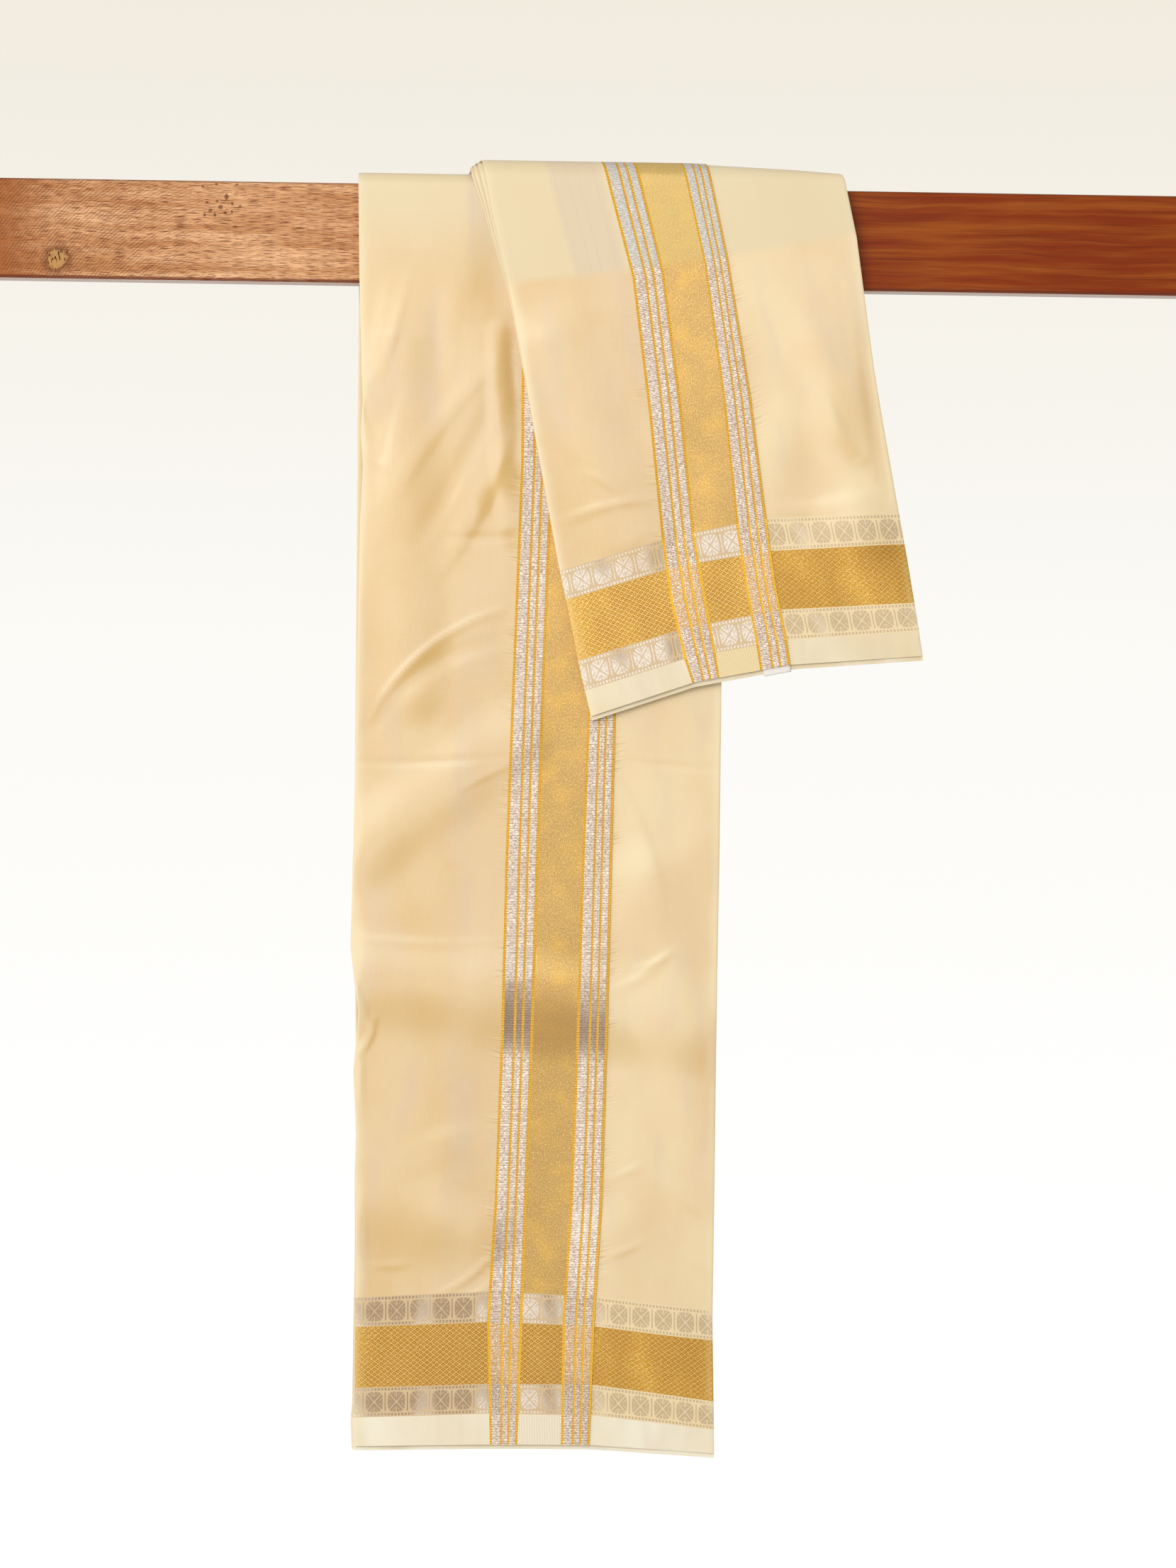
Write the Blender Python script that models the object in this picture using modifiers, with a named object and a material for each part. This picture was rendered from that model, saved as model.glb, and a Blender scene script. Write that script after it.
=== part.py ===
"""Dhoti cloth and its matching short cloth, folded lengthwise and hung over a wooden bar.

Metres, +Z up. X runs along the bar, the front of the cloth faces -Y, and the origin is the
middle of the bar. Tables are in millimetres and are scaled by MM where they are used.
"""
import math
from collections import namedtuple

import bmesh
import bpy
import numpy as np

MM = 0.001

# Wooden bar: a planed plank on edge
BAR_LENGTH = 1100 * MM
BAR_DEPTH = 25 * MM
BAR_HEIGHT = 88 * MM
BAR_EDGE_ROUND = 3 * MM
BAR_EDGE_STEPS = 2

# Cloth walls, counted inwards from the face of the bundle
GAP = 0.3 * MM
FACE_WALL = 2.0 * MM
SIDE_DEPTH = 0.8 * MM
LAYERS_DEPTH = FACE_WALL + GAP
LABEL_WALL = 1.0 * MM

# The edge of a stack of folded layers: how deep each line lies, as a share of the stack, and its inset
EdgeLine = namedtuple("EdgeLine", "share inset")
STACK_EDGE = [
    EdgeLine(0.00, 1.2),
    EdgeLine(0.18, 0.0),
    EdgeLine(0.50, 1.4),
    EdgeLine(0.82, 0.0),
    EdgeLine(1.00, 1.2),
]

# Lengthwise lines of a cloth at one place along it, across from the middle of the bundle.
# run is the cloth's own length from the crest of the bar, positive down the front.
Edges = namedtuple("Edges", "run left silver gold gold_end selvedge right reach")
LONG_EDGES = [
    Edges(1127, -154, -36, -12, 26, 51, 160, 3.0),
    Edges(1015, -154, -39, -8, 27, 55, 158, 2.0),
    Edges(915, -154, -33, -5, 33, 61, 159, 0.5),
    Edges(765, -156, -28, 0, 38, 65, 160, 0.0),
    Edges(615, -158, -25, 4, 42, 68, 162, 0.0),
    Edges(465, -156, -20, 8, 47, 71, 163, 0.0),
    Edges(265, -153, -13, 15, 52, 78, 163, 0.0),
    Edges(0, -157, -13, 15, 52, 78, 162, 0.0),
    Edges(-840, -142, -2, 26, 63, 89, 172, 0.0),
]
SHORT_EDGES = [
    Edges(485, -154, -60, -38, -2, 25, 140, 0.0),
    Edges(450, -156, -65, -37, -1, 26, 141, 0.0),
    Edges(400, -157, -68, -37, -1, 25, 142, 0.0),
    Edges(350, -158, -66, -37, 0, 27, 142, 0.5),
    Edges(235, -158, -57, -28, 9, 33, 143, 0.5),
    Edges(115, -157, -50, -22, 14, 35, 149, 1.5),
    Edges(35, -160, -56, -27, 11, 33, 147, 7.0),
    Edges(0, -160, -58, -29, 10, 33, 146, 12.0),
    Edges(-45, -160, -58, -29, 10, 33, 146, 5.0),
    Edges(-420, -158, -58, -29, 10, 33, 145, 0.0),
]

# Lines above the front hem, lowest first: the run of each at four places across the cloth.
# The first is the lower edge of the hidden layers, and the showing walls start at the second.
Row = namedtuple("Row", "name left silver selvedge right")
LONG_ROWS = [
    Row("layers_hem", 1132, 1128, 1128, 1135),
    Row("hem", 1127, 1125, 1125, 1132),
    Row("lower_silver", 1102, 1098, 1099, 1111),
    Row("gold", 1076, 1072, 1072, 1086),
    Row("upper_silver", 1023, 1018, 1021, 1033),
    Row("body", 997, 991, 995, 1007),
]
SHORT_ROWS = [
    Row("layers_hem", 488, 487, 487, 488),
    Row("hem", 485, 472, 472, 485),
    Row("lower_silver", 462, 450, 450, 463),
    Row("gold", 435, 424, 423, 438),
    Row("upper_silver", 381, 370, 371, 386),
    Row("body", 355, 344, 342, 359),
]

# Largest soft folds of each fall: a ridge from one place to another, seen from its own side
Fold = namedtuple("Fold", "from_x from_z to_x to_z half_width height")
LONG_FRONT_FOLDS = [
    Fold(-165, -70, -150, -400, 42, 3.5),
    Fold(-190, -655, 110, -690, 55, 5.0),
    Fold(-185, -540, -60, -440, 45, 3.0),
    Fold(30, -880, 120, -1010, 50, 4.0),
    Fold(-180, -860, -90, -880, 45, 2.5),
    Fold(60, -560, 120, -820, 45, 3.0),
]
LONG_BACK_FOLDS = [
    Fold(-120, -500, -150, -780, 50, 3.5),
    Fold(-190, -560, 100, -600, 55, 4.0),
    Fold(70, -480, 95, -760, 50, 3.0),
]
SHORT_FRONT_FOLDS = [
    Fold(-30, -95, 40, -260, 45, 3.0),
    Fold(215, -80, 250, -250, 45, 3.0),
    Fold(235, -250, 290, -340, 42, 3.5),
]
SHORT_BACK_FOLDS = [
    Fold(-130, -120, -160, -320, 50, 3.0),
    Fold(120, -110, 95, -300, 50, 3.0),
]

# How far the top of the short cloth sinks towards its right edge, where only the bar is below it
Sag = namedtuple("Sag", "across drop")
SHORT_SAG = [
    Sag(20, 0.0),
    Sag(110, 4.0),
    Sag(146, 7.0),
]
NO_SAG = [
    Sag(0, 0.0),
]

# Care label sewn behind the short cloth's hem
LABEL_LEFT = 1 * MM
LABEL_RIGHT = 25 * MM
LABEL_SHOWS = 6 * MM

Cloth = namedtuple(
    "Cloth",
    "name turn middle crest radius half_depth stack edges rows front_folds back_folds sag step below",
)
BAR_CLEAR = BAR_DEPTH / 2 + GAP
LONG_STACK = 4.2 * MM
SHORT_STACK = 5.2 * MM
LONG_HALF_DEPTH = BAR_CLEAR + LAYERS_DEPTH + LONG_STACK
SHORT_HALF_DEPTH = LONG_HALF_DEPTH + GAP + LAYERS_DEPTH + SHORT_STACK
LONG = Cloth(
    "long", math.radians(0.6), -45 * MM, 53.6 * MM, 12 * MM, LONG_HALF_DEPTH, LONG_STACK,
    LONG_EDGES, LONG_ROWS, LONG_FRONT_FOLDS, LONG_BACK_FOLDS, NO_SAG, 50 * MM, None,
)
SHORT = Cloth(
    "short", math.radians(11.2), 66 * MM, 66 * MM, 17 * MM, SHORT_HALF_DEPTH, SHORT_STACK,
    SHORT_EDGES, SHORT_ROWS, SHORT_FRONT_FOLDS, SHORT_BACK_FOLDS, SHORT_SAG, 40 * MM, LONG,
)

# Lengthwise strips of the grid that all walls of a cloth share
Strip = namedtuple("Strip", "name first last columns material")
STRIPS = [
    Strip("face", "left", "silver", 8, "silk"),
    Strip("border_silver_left", "silver", "gold", 1, "silver_zari"),
    Strip("border_gold", "gold", "gold_end", 2, "gold_zari"),
    Strip("border_silver_right", "gold_end", "selvedge", 1, "silver_zari"),
    Strip("side", "selvedge", "right", 4, "silk"),
]
ROW_MATERIALS = {
    "hem": "silk",
    "lower_silver": "silver_zari",
    "gold": "gold_zari",
    "upper_silver": "silver_zari",
    "body": "silk",
}

# Shares of the rounded corner over the bar where the grid has a line
CORNER_SHARES = (1.0, 2 / 3, 1 / 3, 0.0)
# The soft folds start below the bar's middle and are full below its lower edge
FOLD_FADE_TOP = -20 * MM
FOLD_FADE_FULL = -90 * MM
PLACE_ROUNDS = 6
HEM_ROW = 1
BACK_STEP_SHARE = 4 / 3
SHARP_ANGLE = math.radians(40)

Finish = namedtuple("Finish", "colour roughness metallic")
FINISHES = {
    "silk": Finish((0.83, 0.66, 0.42), 0.45, 0.0),
    "silver_zari": Finish((0.72, 0.70, 0.68), 0.35, 0.8),
    "gold_zari": Finish((0.70, 0.43, 0.10), 0.35, 0.8),
    "wood": Finish((0.33, 0.12, 0.04), 0.5, 0.0),
    "label": Finish((0.80, 0.74, 0.68), 0.8, 0.0),
}


def clear_scene():
    """Remove whatever the file holds."""
    for thing in list(bpy.data.objects):
        bpy.data.objects.remove(thing, do_unlink=True)


def make_collection(name):
    """New collection linked to the scene."""
    group = bpy.data.collections.new(name)
    bpy.context.scene.collection.children.link(group)
    return group


def make_material(name):
    """Plain Principled material of one of the object's finishes."""
    finish = FINISHES[name]
    material = bpy.data.materials.new(name)
    material.use_nodes = True
    shader = material.node_tree.nodes["Principled BSDF"]
    shader.inputs["Base Color"].default_value = (*finish.colour, 1.0)
    shader.inputs["Roughness"].default_value = finish.roughness
    shader.inputs["Metallic"].default_value = finish.metallic
    return material


def read_table(table, key, column, where):
    """Value of one column of a table at a place between its rows."""
    rows = sorted(table, key=lambda row: getattr(row, key))
    places = [getattr(row, key) * MM for row in rows]
    values = [getattr(row, column) * MM for row in rows]
    return float(np.interp(where, places, values))


def corner_run(cloth):
    """Length of cloth from the crest to where the fall starts to hang straight."""
    return cloth.half_depth - cloth.radius + cloth.radius * math.pi / 2


def over_bar(cloth, run):
    """Place (y, z) and outward direction of the bundle's face at a run square to the bar."""
    flat = cloth.half_depth - cloth.radius
    front = -1 if run >= 0 else 1
    past_flat = abs(run) - flat
    if past_flat <= 0:
        return (-run, cloth.crest), (0.0, 1.0)
    angle = past_flat / cloth.radius
    if angle < math.pi / 2:
        y = front * (flat + cloth.radius * math.sin(angle))
        z = cloth.crest - cloth.radius * (1 - math.cos(angle))
        return (y, z), (front * math.sin(angle), math.cos(angle))
    drop = abs(run) - corner_run(cloth)
    return (front * cloth.half_depth, cloth.crest - cloth.radius - drop), (front * 1.0, 0.0)


def ridge(fold, x, z):
    """Height of one soft fold at a place: round across, and fading to both its ends."""
    start = np.array([fold.from_x, fold.from_z]) * MM
    way = np.array([fold.to_x, fold.to_z]) * MM - start
    length = float(np.hypot(*way))
    along = float(np.dot([x - start[0], z - start[1]], way)) / length**2
    nearest = start + way * min(max(along, 0.0), 1.0)
    away = math.hypot(x - nearest[0], z - nearest[1]) / (fold.half_width * MM)
    if away >= 1:
        return 0.0
    return fold.height * MM * (1 + math.cos(math.pi * away)) / 2


def lift_at(cloth, x, z, front, share):
    """How far the soft folds stand out at a place, none of it where the cloth lies on the bar.

    The cloth's own folds fade through its hidden layers, by the share of them that is passed,
    so that the innermost layer hangs flat. Those of the cloth below are followed in full.
    """
    folds = cloth.front_folds if front else cloth.back_folds
    fade = (FOLD_FADE_TOP - z) / (FOLD_FADE_TOP - FOLD_FADE_FULL)
    fade = min(max(fade, 0.0), 1.0)
    height = sum(ridge(fold, x, z) for fold in folds) * fade * (1 - share)
    if cloth.below:
        height += lift_at(cloth.below, x, z, front, 0.0)
    return height


def cloth_point(cloth, across, run, depth, share=0.0):
    """World place of a point of the bundle, at a depth below its face."""
    cos_turn = math.cos(cloth.turn)
    sin_turn = math.sin(cloth.turn)
    x = cloth.middle + across * cos_turn + run * sin_turn
    square_run = run * cos_turn - across * sin_turn
    (y, z), (out_y, out_z) = over_bar(cloth, square_run)
    z -= read_table(cloth.sag, "across", "drop", across) * out_z**2
    out = lift_at(cloth, x, z, square_run >= 0, share) - depth
    return (x, y + out_y * out, z + out_z * out)


class ClothGrid:
    """Lines across and along one cloth, shared by all its walls so that these stay parallel."""

    def __init__(self, cloth):
        self.cloth = cloth
        self.rows = [self.woven_line(row) for row in cloth.rows]
        corner = corner_run(cloth)
        flat = cloth.half_depth - cloth.radius
        top_row = cloth.rows[-1].selvedge * MM
        front_steps = round((top_row - corner) / cloth.step)
        for step in range(1, front_steps):
            share = step / front_steps
            self.rows.append(self.straight_line(top_row + (corner - top_row) * share, share))
        self.front_end = len(self.rows)
        corners = [flat + (corner - flat) * share for share in CORNER_SHARES]
        self.rows += [self.straight_line(run, 1.0) for run in corners]
        self.rows += [self.straight_line(-run, 1.0) for run in reversed(corners)]
        self.back_start = len(self.rows) - 1
        back_length = -cloth.edges[-1].run * MM - corner
        back_steps = round(back_length / (cloth.step * BACK_STEP_SHARE))
        for step in range(1, back_steps + 1):
            share = step / back_steps
            self.rows.append(self.straight_line(-corner - back_length * share, 1.0 - share))
        self.last_row = len(self.rows) - 1
        self.columns = [
            (strip.first, strip.last, column / strip.columns)
            for strip in STRIPS
            for column in range(strip.columns)
        ]
        self.columns.append((STRIPS[-1].last, STRIPS[-1].last, 0.0))
        self.last_column = len(self.columns) - 1

    def woven_line(self, row):
        """Run of a woven row at any place across."""
        hem = self.cloth.edges[0]
        names = ("left", "silver", "selvedge", "right")
        places = [getattr(hem, name) * MM for name in names]
        runs = [getattr(row, name) * MM for name in names]
        return lambda across: float(np.interp(across, places, runs))

    def straight_line(self, run, share):
        """Straight line across, turned by a share of the cloth's turn towards the bar."""
        turn = self.cloth.turn * share
        return lambda across: run / math.cos(turn) + across * math.tan(turn)

    def place(self, row, column):
        """Across and run where two lines of the grid meet, found in a few rounds."""
        first, last, share = self.columns[column]
        run = self.rows[row](0.0)
        across = 0.0
        for _ in range(PLACE_ROUNDS):
            start = read_table(self.cloth.edges, "run", first, run)
            end = read_table(self.cloth.edges, "run", last, run)
            across = start + (end - start) * share
            run = self.rows[row](across)
        return across, run


def add_object(name, mesh, material, group):
    """Object of a finished mesh, smooth except where it turns sharply."""
    mesh.materials.append(material)
    mesh.shade_smooth()
    mesh.set_sharp_from_angle(angle=SHARP_ANGLE)
    thing = bpy.data.objects.new(name, mesh)
    group.objects.link(thing)
    return thing


def wall_mesh(name, places, rows, columns):
    """Open sheet of triangles through a grid of places, its face outwards."""
    mesh = bmesh.new()
    bmesh.ops.create_grid(mesh, x_segments=columns, y_segments=rows, size=1.0)
    for vert in mesh.verts:
        column = round((vert.co.x + 1) / 2 * columns)
        row = round((vert.co.y + 1) / 2 * rows)
        vert.co = places(row, column)
    bmesh.ops.triangulate(mesh, faces=mesh.faces[:], quad_method="FIXED")
    data = bpy.data.meshes.new(name)
    mesh.to_mesh(data)
    mesh.free()
    return data


def add_wall(name, places, rows, columns, thickness, material, group):
    """Sheet given its thickness inwards by Solidify."""
    wall = add_object(name, wall_mesh(name, places, rows, columns), material, group)
    solidify = wall.modifiers.new("Thickness", "SOLIDIFY")
    solidify.thickness = thickness
    solidify.offset = -1.0
    solidify.use_even_offset = True
    return wall


def add_panel(grid, name, rows, columns, depth, thickness, material, group):
    """One showing wall over a span of rows and columns, drawn in by half a seam all round."""
    first_row, last_row = rows
    first_column, last_column = columns

    def places(row, column):
        across, run = grid.place(first_row + row, first_column + column)
        across += GAP / 2 * ((column == 0) - (column == last_column - first_column))
        run -= GAP / 2 * ((row == 0) - (row == last_row - first_row))
        return cloth_point(grid.cloth, across, run, depth)

    add_wall(
        name, places, last_row - first_row, last_column - first_column, thickness, material, group
    )


def add_panels(grid, materials, group):
    """The showing layers: silk, border strips, woven rows and hem, side by side."""
    cloth = grid.cloth
    column = 0
    for strip in STRIPS:
        columns = (column, column + strip.columns)
        column += strip.columns
        depth = SIDE_DEPTH if strip.name == "side" else 0.0
        thickness = FACE_WALL - depth
        if strip.material != "silk":
            rows = (HEM_ROW, grid.last_row)
            add_panel(
                grid, f"{cloth.name}_{strip.name}", rows, columns, depth, thickness,
                materials[strip.material], group,
            )
            continue
        for index in range(HEM_ROW, len(cloth.rows)):
            row_name = cloth.rows[index].name
            rows = (index, grid.last_row if row_name == "body" else index + 1)
            add_panel(
                grid, f"{cloth.name}_{strip.name}_{row_name}", rows, columns, depth, thickness,
                materials[ROW_MATERIALS[row_name]], group,
            )


def stack_mesh(name, places, rows, columns):
    """Closed stack: a face and a back that share a grid, joined by the lines of its layered edge."""
    mesh = bmesh.new()
    last = len(STACK_EDGE) - 1
    border = [(0, column) for column in range(columns)]
    border += [(row, columns) for row in range(rows)]
    border += [(rows, column) for column in range(columns, 0, -1)]
    border += [(row, 0) for row in range(rows, 0, -1)]
    verts = {}
    for row in range(rows + 1):
        for column in range(columns + 1):
            for level in (0, last):
                verts[row, column, level] = mesh.verts.new(places(row, column, level))
    for row, column in border:
        for level in range(1, last):
            verts[row, column, level] = mesh.verts.new(places(row, column, level))
    for row in range(rows):
        for column in range(columns):
            ring = [(row, column), (row, column + 1), (row + 1, column + 1), (row + 1, column)]
            mesh.faces.new([verts[(*corner, 0)] for corner in ring])
            mesh.faces.new([verts[(*corner, last)] for corner in reversed(ring)])
    for here, there in zip(border, border[1:] + border[:1]):
        for level in range(last):
            ring = [(*there, level), (*here, level), (*here, level + 1), (*there, level + 1)]
            mesh.faces.new([verts[corner] for corner in ring])
    bmesh.ops.triangulate(mesh, faces=mesh.faces[:], quad_method="FIXED")
    data = bpy.data.meshes.new(name)
    mesh.to_mesh(data)
    mesh.free()
    return data


def add_stack(grid, name, first_row, last_row, material, group):
    """A stretch of the hidden layers, flat where it is parted from the next stretch."""
    cloth = grid.cloth

    def places(row, column, level):
        line = STACK_EDGE[level]
        across, run = grid.place(first_row + row, column)
        inset = line.inset * MM
        if column == 0:
            across += inset - read_table(cloth.edges, "run", "reach", run)
        if column == grid.last_column:
            across -= inset
        if row == 0:
            run -= inset if first_row == 0 else GAP / 2
        if row == last_row - first_row:
            run += inset if last_row == grid.last_row else GAP / 2
        depth = LAYERS_DEPTH + cloth.stack * line.share
        return cloth_point(cloth, across, run, depth, line.share)

    mesh = stack_mesh(name, places, last_row - first_row, grid.last_column)
    add_object(name, mesh, material, group)


def add_stacks(grid, materials, group):
    """Hidden layers, one solid for each stretch: front fall, over the bar, back fall."""
    name = grid.cloth.name
    silk = materials["silk"]
    add_stack(grid, f"{name}_front_layers", 0, grid.front_end, silk, group)
    add_stack(grid, f"{name}_top_layers", grid.front_end, grid.back_start, silk, group)
    add_stack(grid, f"{name}_back_layers", grid.back_start, grid.last_row, silk, group)


def add_label(grid, materials, group):
    """Plain woven care label that shows just below the short cloth's hem."""
    hem = grid.rows[HEM_ROW]

    def places(row, column):
        across = LABEL_RIGHT if column else LABEL_LEFT
        run = hem(across) + GAP / 2 + (0.0 if row else LABEL_SHOWS)
        return cloth_point(grid.cloth, across, run, FACE_WALL - LABEL_WALL)

    add_wall("care_label", places, 1, 1, LABEL_WALL, materials["label"], group)


def add_bar(materials, group):
    """Wooden bar with softened long edges."""
    mesh = bmesh.new()
    bmesh.ops.create_cube(mesh, size=1.0)
    bmesh.ops.scale(mesh, vec=(BAR_LENGTH, BAR_DEPTH, BAR_HEIGHT), verts=mesh.verts)
    long_edges = [
        edge for edge in mesh.edges if abs(edge.verts[0].co.x - edge.verts[1].co.x) > BAR_DEPTH
    ]
    bmesh.ops.bevel(
        mesh, geom=long_edges, offset=BAR_EDGE_ROUND, segments=BAR_EDGE_STEPS,
        affect="EDGES", profile=0.5,
    )
    data = bpy.data.meshes.new("wooden_bar")
    mesh.to_mesh(data)
    mesh.free()
    add_object("wooden_bar", data, materials["wood"], group)


def main():
    clear_scene()
    group = make_collection("dhoti_cloth")
    materials = {name: make_material(name) for name in FINISHES}
    add_bar(materials, group)
    long_grid = ClothGrid(LONG)
    short_grid = ClothGrid(SHORT)
    for grid in (long_grid, short_grid):
        add_stacks(grid, materials, group)
        add_panels(grid, materials, group)
    add_label(short_grid, materials, group)


main()
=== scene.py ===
"""Folded dhoti cloth and its short matching cloth on a wooden bar, dressed for the render.

Metres, +Z up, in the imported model's frame: X runs along the bar, the front of the cloth faces -Y,
and the origin is the middle of the bar. Tables are in millimetres, scaled by MM where they are
read.
"""
import math
from collections import namedtuple

import bpy
import numpy as np
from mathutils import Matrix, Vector


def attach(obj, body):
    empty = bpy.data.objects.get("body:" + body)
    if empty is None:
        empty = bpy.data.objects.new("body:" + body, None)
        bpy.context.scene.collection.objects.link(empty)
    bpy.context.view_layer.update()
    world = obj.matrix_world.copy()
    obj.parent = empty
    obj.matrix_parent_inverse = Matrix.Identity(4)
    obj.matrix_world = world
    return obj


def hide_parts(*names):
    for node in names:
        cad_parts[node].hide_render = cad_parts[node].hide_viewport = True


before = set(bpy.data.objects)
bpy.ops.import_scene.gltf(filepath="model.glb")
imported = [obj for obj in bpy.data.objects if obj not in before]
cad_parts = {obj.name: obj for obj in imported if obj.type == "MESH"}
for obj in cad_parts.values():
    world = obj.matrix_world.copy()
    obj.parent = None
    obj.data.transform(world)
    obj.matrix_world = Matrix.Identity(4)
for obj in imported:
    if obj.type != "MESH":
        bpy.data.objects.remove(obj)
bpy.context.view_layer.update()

bl_info = {
    "name": "Dhoti Cloth",
    "version": (1, 0, 0),
    "blender": (4, 5, 0),
    "location": "View3D > Sidebar > Dhoti Cloth",
    "description": "A folded dhoti cloth and its short matching cloth, hung over a wooden bar",
    "category": "Object",
}

MM = 0.001
BODY = "root"

# The bundle's make-up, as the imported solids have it
GAP = 0.3 * MM
FACE_WALL = 2.0 * MM
LAYERS_DEPTH = FACE_WALL + GAP
BAR_DEPTH = 25 * MM
LONG_STACK = 4.2 * MM
SHORT_STACK = 5.2 * MM

# Lengthwise lines of a cloth at one place along it, across from the middle of the bundle.
# run is the cloth's own length from the crest of the bar, positive down the front.
Edges = namedtuple("Edges", "run left silver gold gold_end selvedge right reach")
LONG_EDGES = [
    Edges(1127, -154, -36, -12, 26, 51, 160, 3.0),
    Edges(1015, -154, -39, -8, 27, 55, 158, 2.0),
    Edges(915, -154, -33, -5, 33, 61, 159, 0.5),
    Edges(765, -156, -28, 0, 38, 65, 160, 0.0),
    Edges(615, -158, -25, 4, 42, 68, 162, 0.0),
    Edges(465, -156, -20, 8, 47, 71, 163, 0.0),
    Edges(265, -153, -13, 15, 52, 78, 163, 0.0),
    Edges(0, -157, -13, 15, 52, 78, 162, 0.0),
    Edges(-840, -142, -2, 26, 63, 89, 172, 0.0),
]
SHORT_EDGES = [
    Edges(485, -154, -60, -38, -2, 25, 140, 0.0),
    Edges(450, -156, -65, -37, -1, 26, 141, 0.0),
    Edges(400, -157, -68, -37, -1, 25, 142, 0.0),
    Edges(350, -158, -66, -37, 0, 27, 142, 0.5),
    Edges(235, -158, -57, -28, 9, 33, 143, 0.5),
    Edges(115, -157, -50, -22, 14, 35, 149, 1.5),
    Edges(35, -160, -56, -27, 11, 33, 147, 7.0),
    Edges(0, -160, -58, -29, 10, 33, 146, 12.0),
    Edges(-45, -160, -58, -29, 10, 33, 146, 5.0),
    Edges(-420, -158, -58, -29, 10, 33, 145, 0.0),
]

# Woven lines above the front hem, lowest first: the run of each at four places across the cloth
Row = namedtuple("Row", "name left silver selvedge right steps")
LONG_ROWS = [
    Row("hem", 1127, 1125, 1125, 1132, 7),
    Row("lower_silver", 1102, 1098, 1099, 1111, 7),
    Row("gold", 1076, 1072, 1072, 1086, 13),
    Row("upper_silver", 1023, 1018, 1021, 1033, 7),
    Row("body", 997, 991, 995, 1007, 0),
]
SHORT_ROWS = [
    Row("hem", 485, 472, 472, 485, 7),
    Row("lower_silver", 462, 450, 450, 463, 7),
    Row("gold", 435, 424, 423, 438, 13),
    Row("upper_silver", 381, 370, 371, 386, 7),
    Row("body", 355, 344, 342, 359, 0),
]

# Largest soft folds: a ridge from one place to another, seen from its own side
Fold = namedtuple("Fold", "from_x from_z to_x to_z half_width height")
LONG_FRONT_FOLDS = [
    Fold(-165, -70, -150, -400, 42, 3.5),
    Fold(-190, -655, 110, -690, 55, 5.0),
    Fold(-185, -540, -60, -440, 45, 3.0),
    Fold(30, -880, 120, -1010, 50, 4.0),
    Fold(-180, -860, -90, -880, 45, 2.5),
    Fold(60, -560, 120, -820, 45, 3.0),
]
LONG_BACK_FOLDS = [
    Fold(-120, -500, -150, -780, 50, 3.5),
    Fold(-190, -560, 100, -600, 55, 4.0),
    Fold(70, -480, 95, -760, 50, 3.0),
]
SHORT_FRONT_FOLDS = [
    Fold(-30, -95, 40, -260, 45, 3.0),
    Fold(215, -80, 250, -250, 45, 3.0),
    Fold(235, -250, 290, -340, 42, 3.5),
]
SHORT_BACK_FOLDS = [
    Fold(-130, -120, -160, -320, 50, 3.0),
    Fold(120, -110, 95, -300, 50, 3.0),
]

# Fine creases of the showing layers: bend bows the line, lean makes one flank steeper
Crease = namedtuple("Crease", "from_x from_z to_x to_z bend half_width lean height")
LONG_FRONT_CREASES = [Crease(*row) for row in (
    (-79, -85, -67, -252, 2, 15, -0.2, 2.6), (-171, -1, -191, -119, 4, 14, 0.3, -1.15),
    (-153, -11, -178, -123, -3, 9, 0.3, 0.94), (-141, 40, -167, -55, 3, 16, 0.2, -0.68),
    (-101, 26, -99, -76, 0, 16, 0.2, -1.02), (-118, 21, -121, -116, 2, 14, -0.2, 0.82),
    (-66, -79, -57, -165, 2, 15, -0.4, -1.63), (-64, -168, -123, -294, -6, 15, 0.3, 1.05),
    (-78, -138, -145, -273, -4, 14, 0.2, -0.76), (-85, -116, -164, -229, 4, 13, 0.2, 0.66),
    (-166, -142, -183, -230, 3, 13, 0.3, -0.82), (-131, -265, -63, -262, 1, 5.5, 0, -0.4),
    (-114, -269, -63, -266, 0, 5.5, 0, -0.34), (-184, -424, -69, -326, -16, 7, 0.5, 0.99),
    (-184, -435, -75, -355, -14, 13, 0, -0.95), (-193, -463, -65, -456, 2, 5.5, 0, -0.59),
    (-61, -464, -102, -485, 1, 5.5, 0.2, 0.45), (28, -458, 124, -464, 1, 5.5, 0, -0.45),
    (-192, -616, -71, -617, 3, 7, 0.3, 0.4), (28, -469, 75, -593, -8, 14, 0.4, 0.88),
    (53, -639, 83, -624, 2, 5.5, 0.3, 0.65), (31, -658, 79, -626, 4, 8, 0.3, 0.59),
    (-194, -146, -187, -179, 3, 5.5, 0.4, 0.9), (-194, -182, -174, -207, 2, 5.5, 0.4, 0.94),
    (-192, -656, -176, -688, 3, 6, 0.4, 0.99), (-176, -688, -188, -719, -3, 6, 0.4, 0.9),
    (-186, -719, -183, -769, 2, 6, 0.2, 0.7), (-184, -846, -178, -914, 2, 8, 0.2, 0.5),
    (29, -824, 60, -810, 1, 5.5, 0.3, 0.5), (28, -891, 61, -878, 1, 5.5, 0.3, 0.5),
    (45, -842, 127, -906, 5, 11, 0.4, 0.9), (54, -817, 129, -869, -4, 10, -0.3, 0.65),
    (-177, -903, -145, -901, 0, 5.5, 0.2, 0.54), (-122, -928, -72, -893, 4, 6, 0.4, 0.74),
    (-103, -934, -68, -913, 3, 5.5, 0.2, 0.54), (-155, -814, -74, -788, -6, 24, 0.2, 0.95),
    (-168, -765, -92, -851, 6, 26, 0.2, -0.82),
)]
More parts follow.
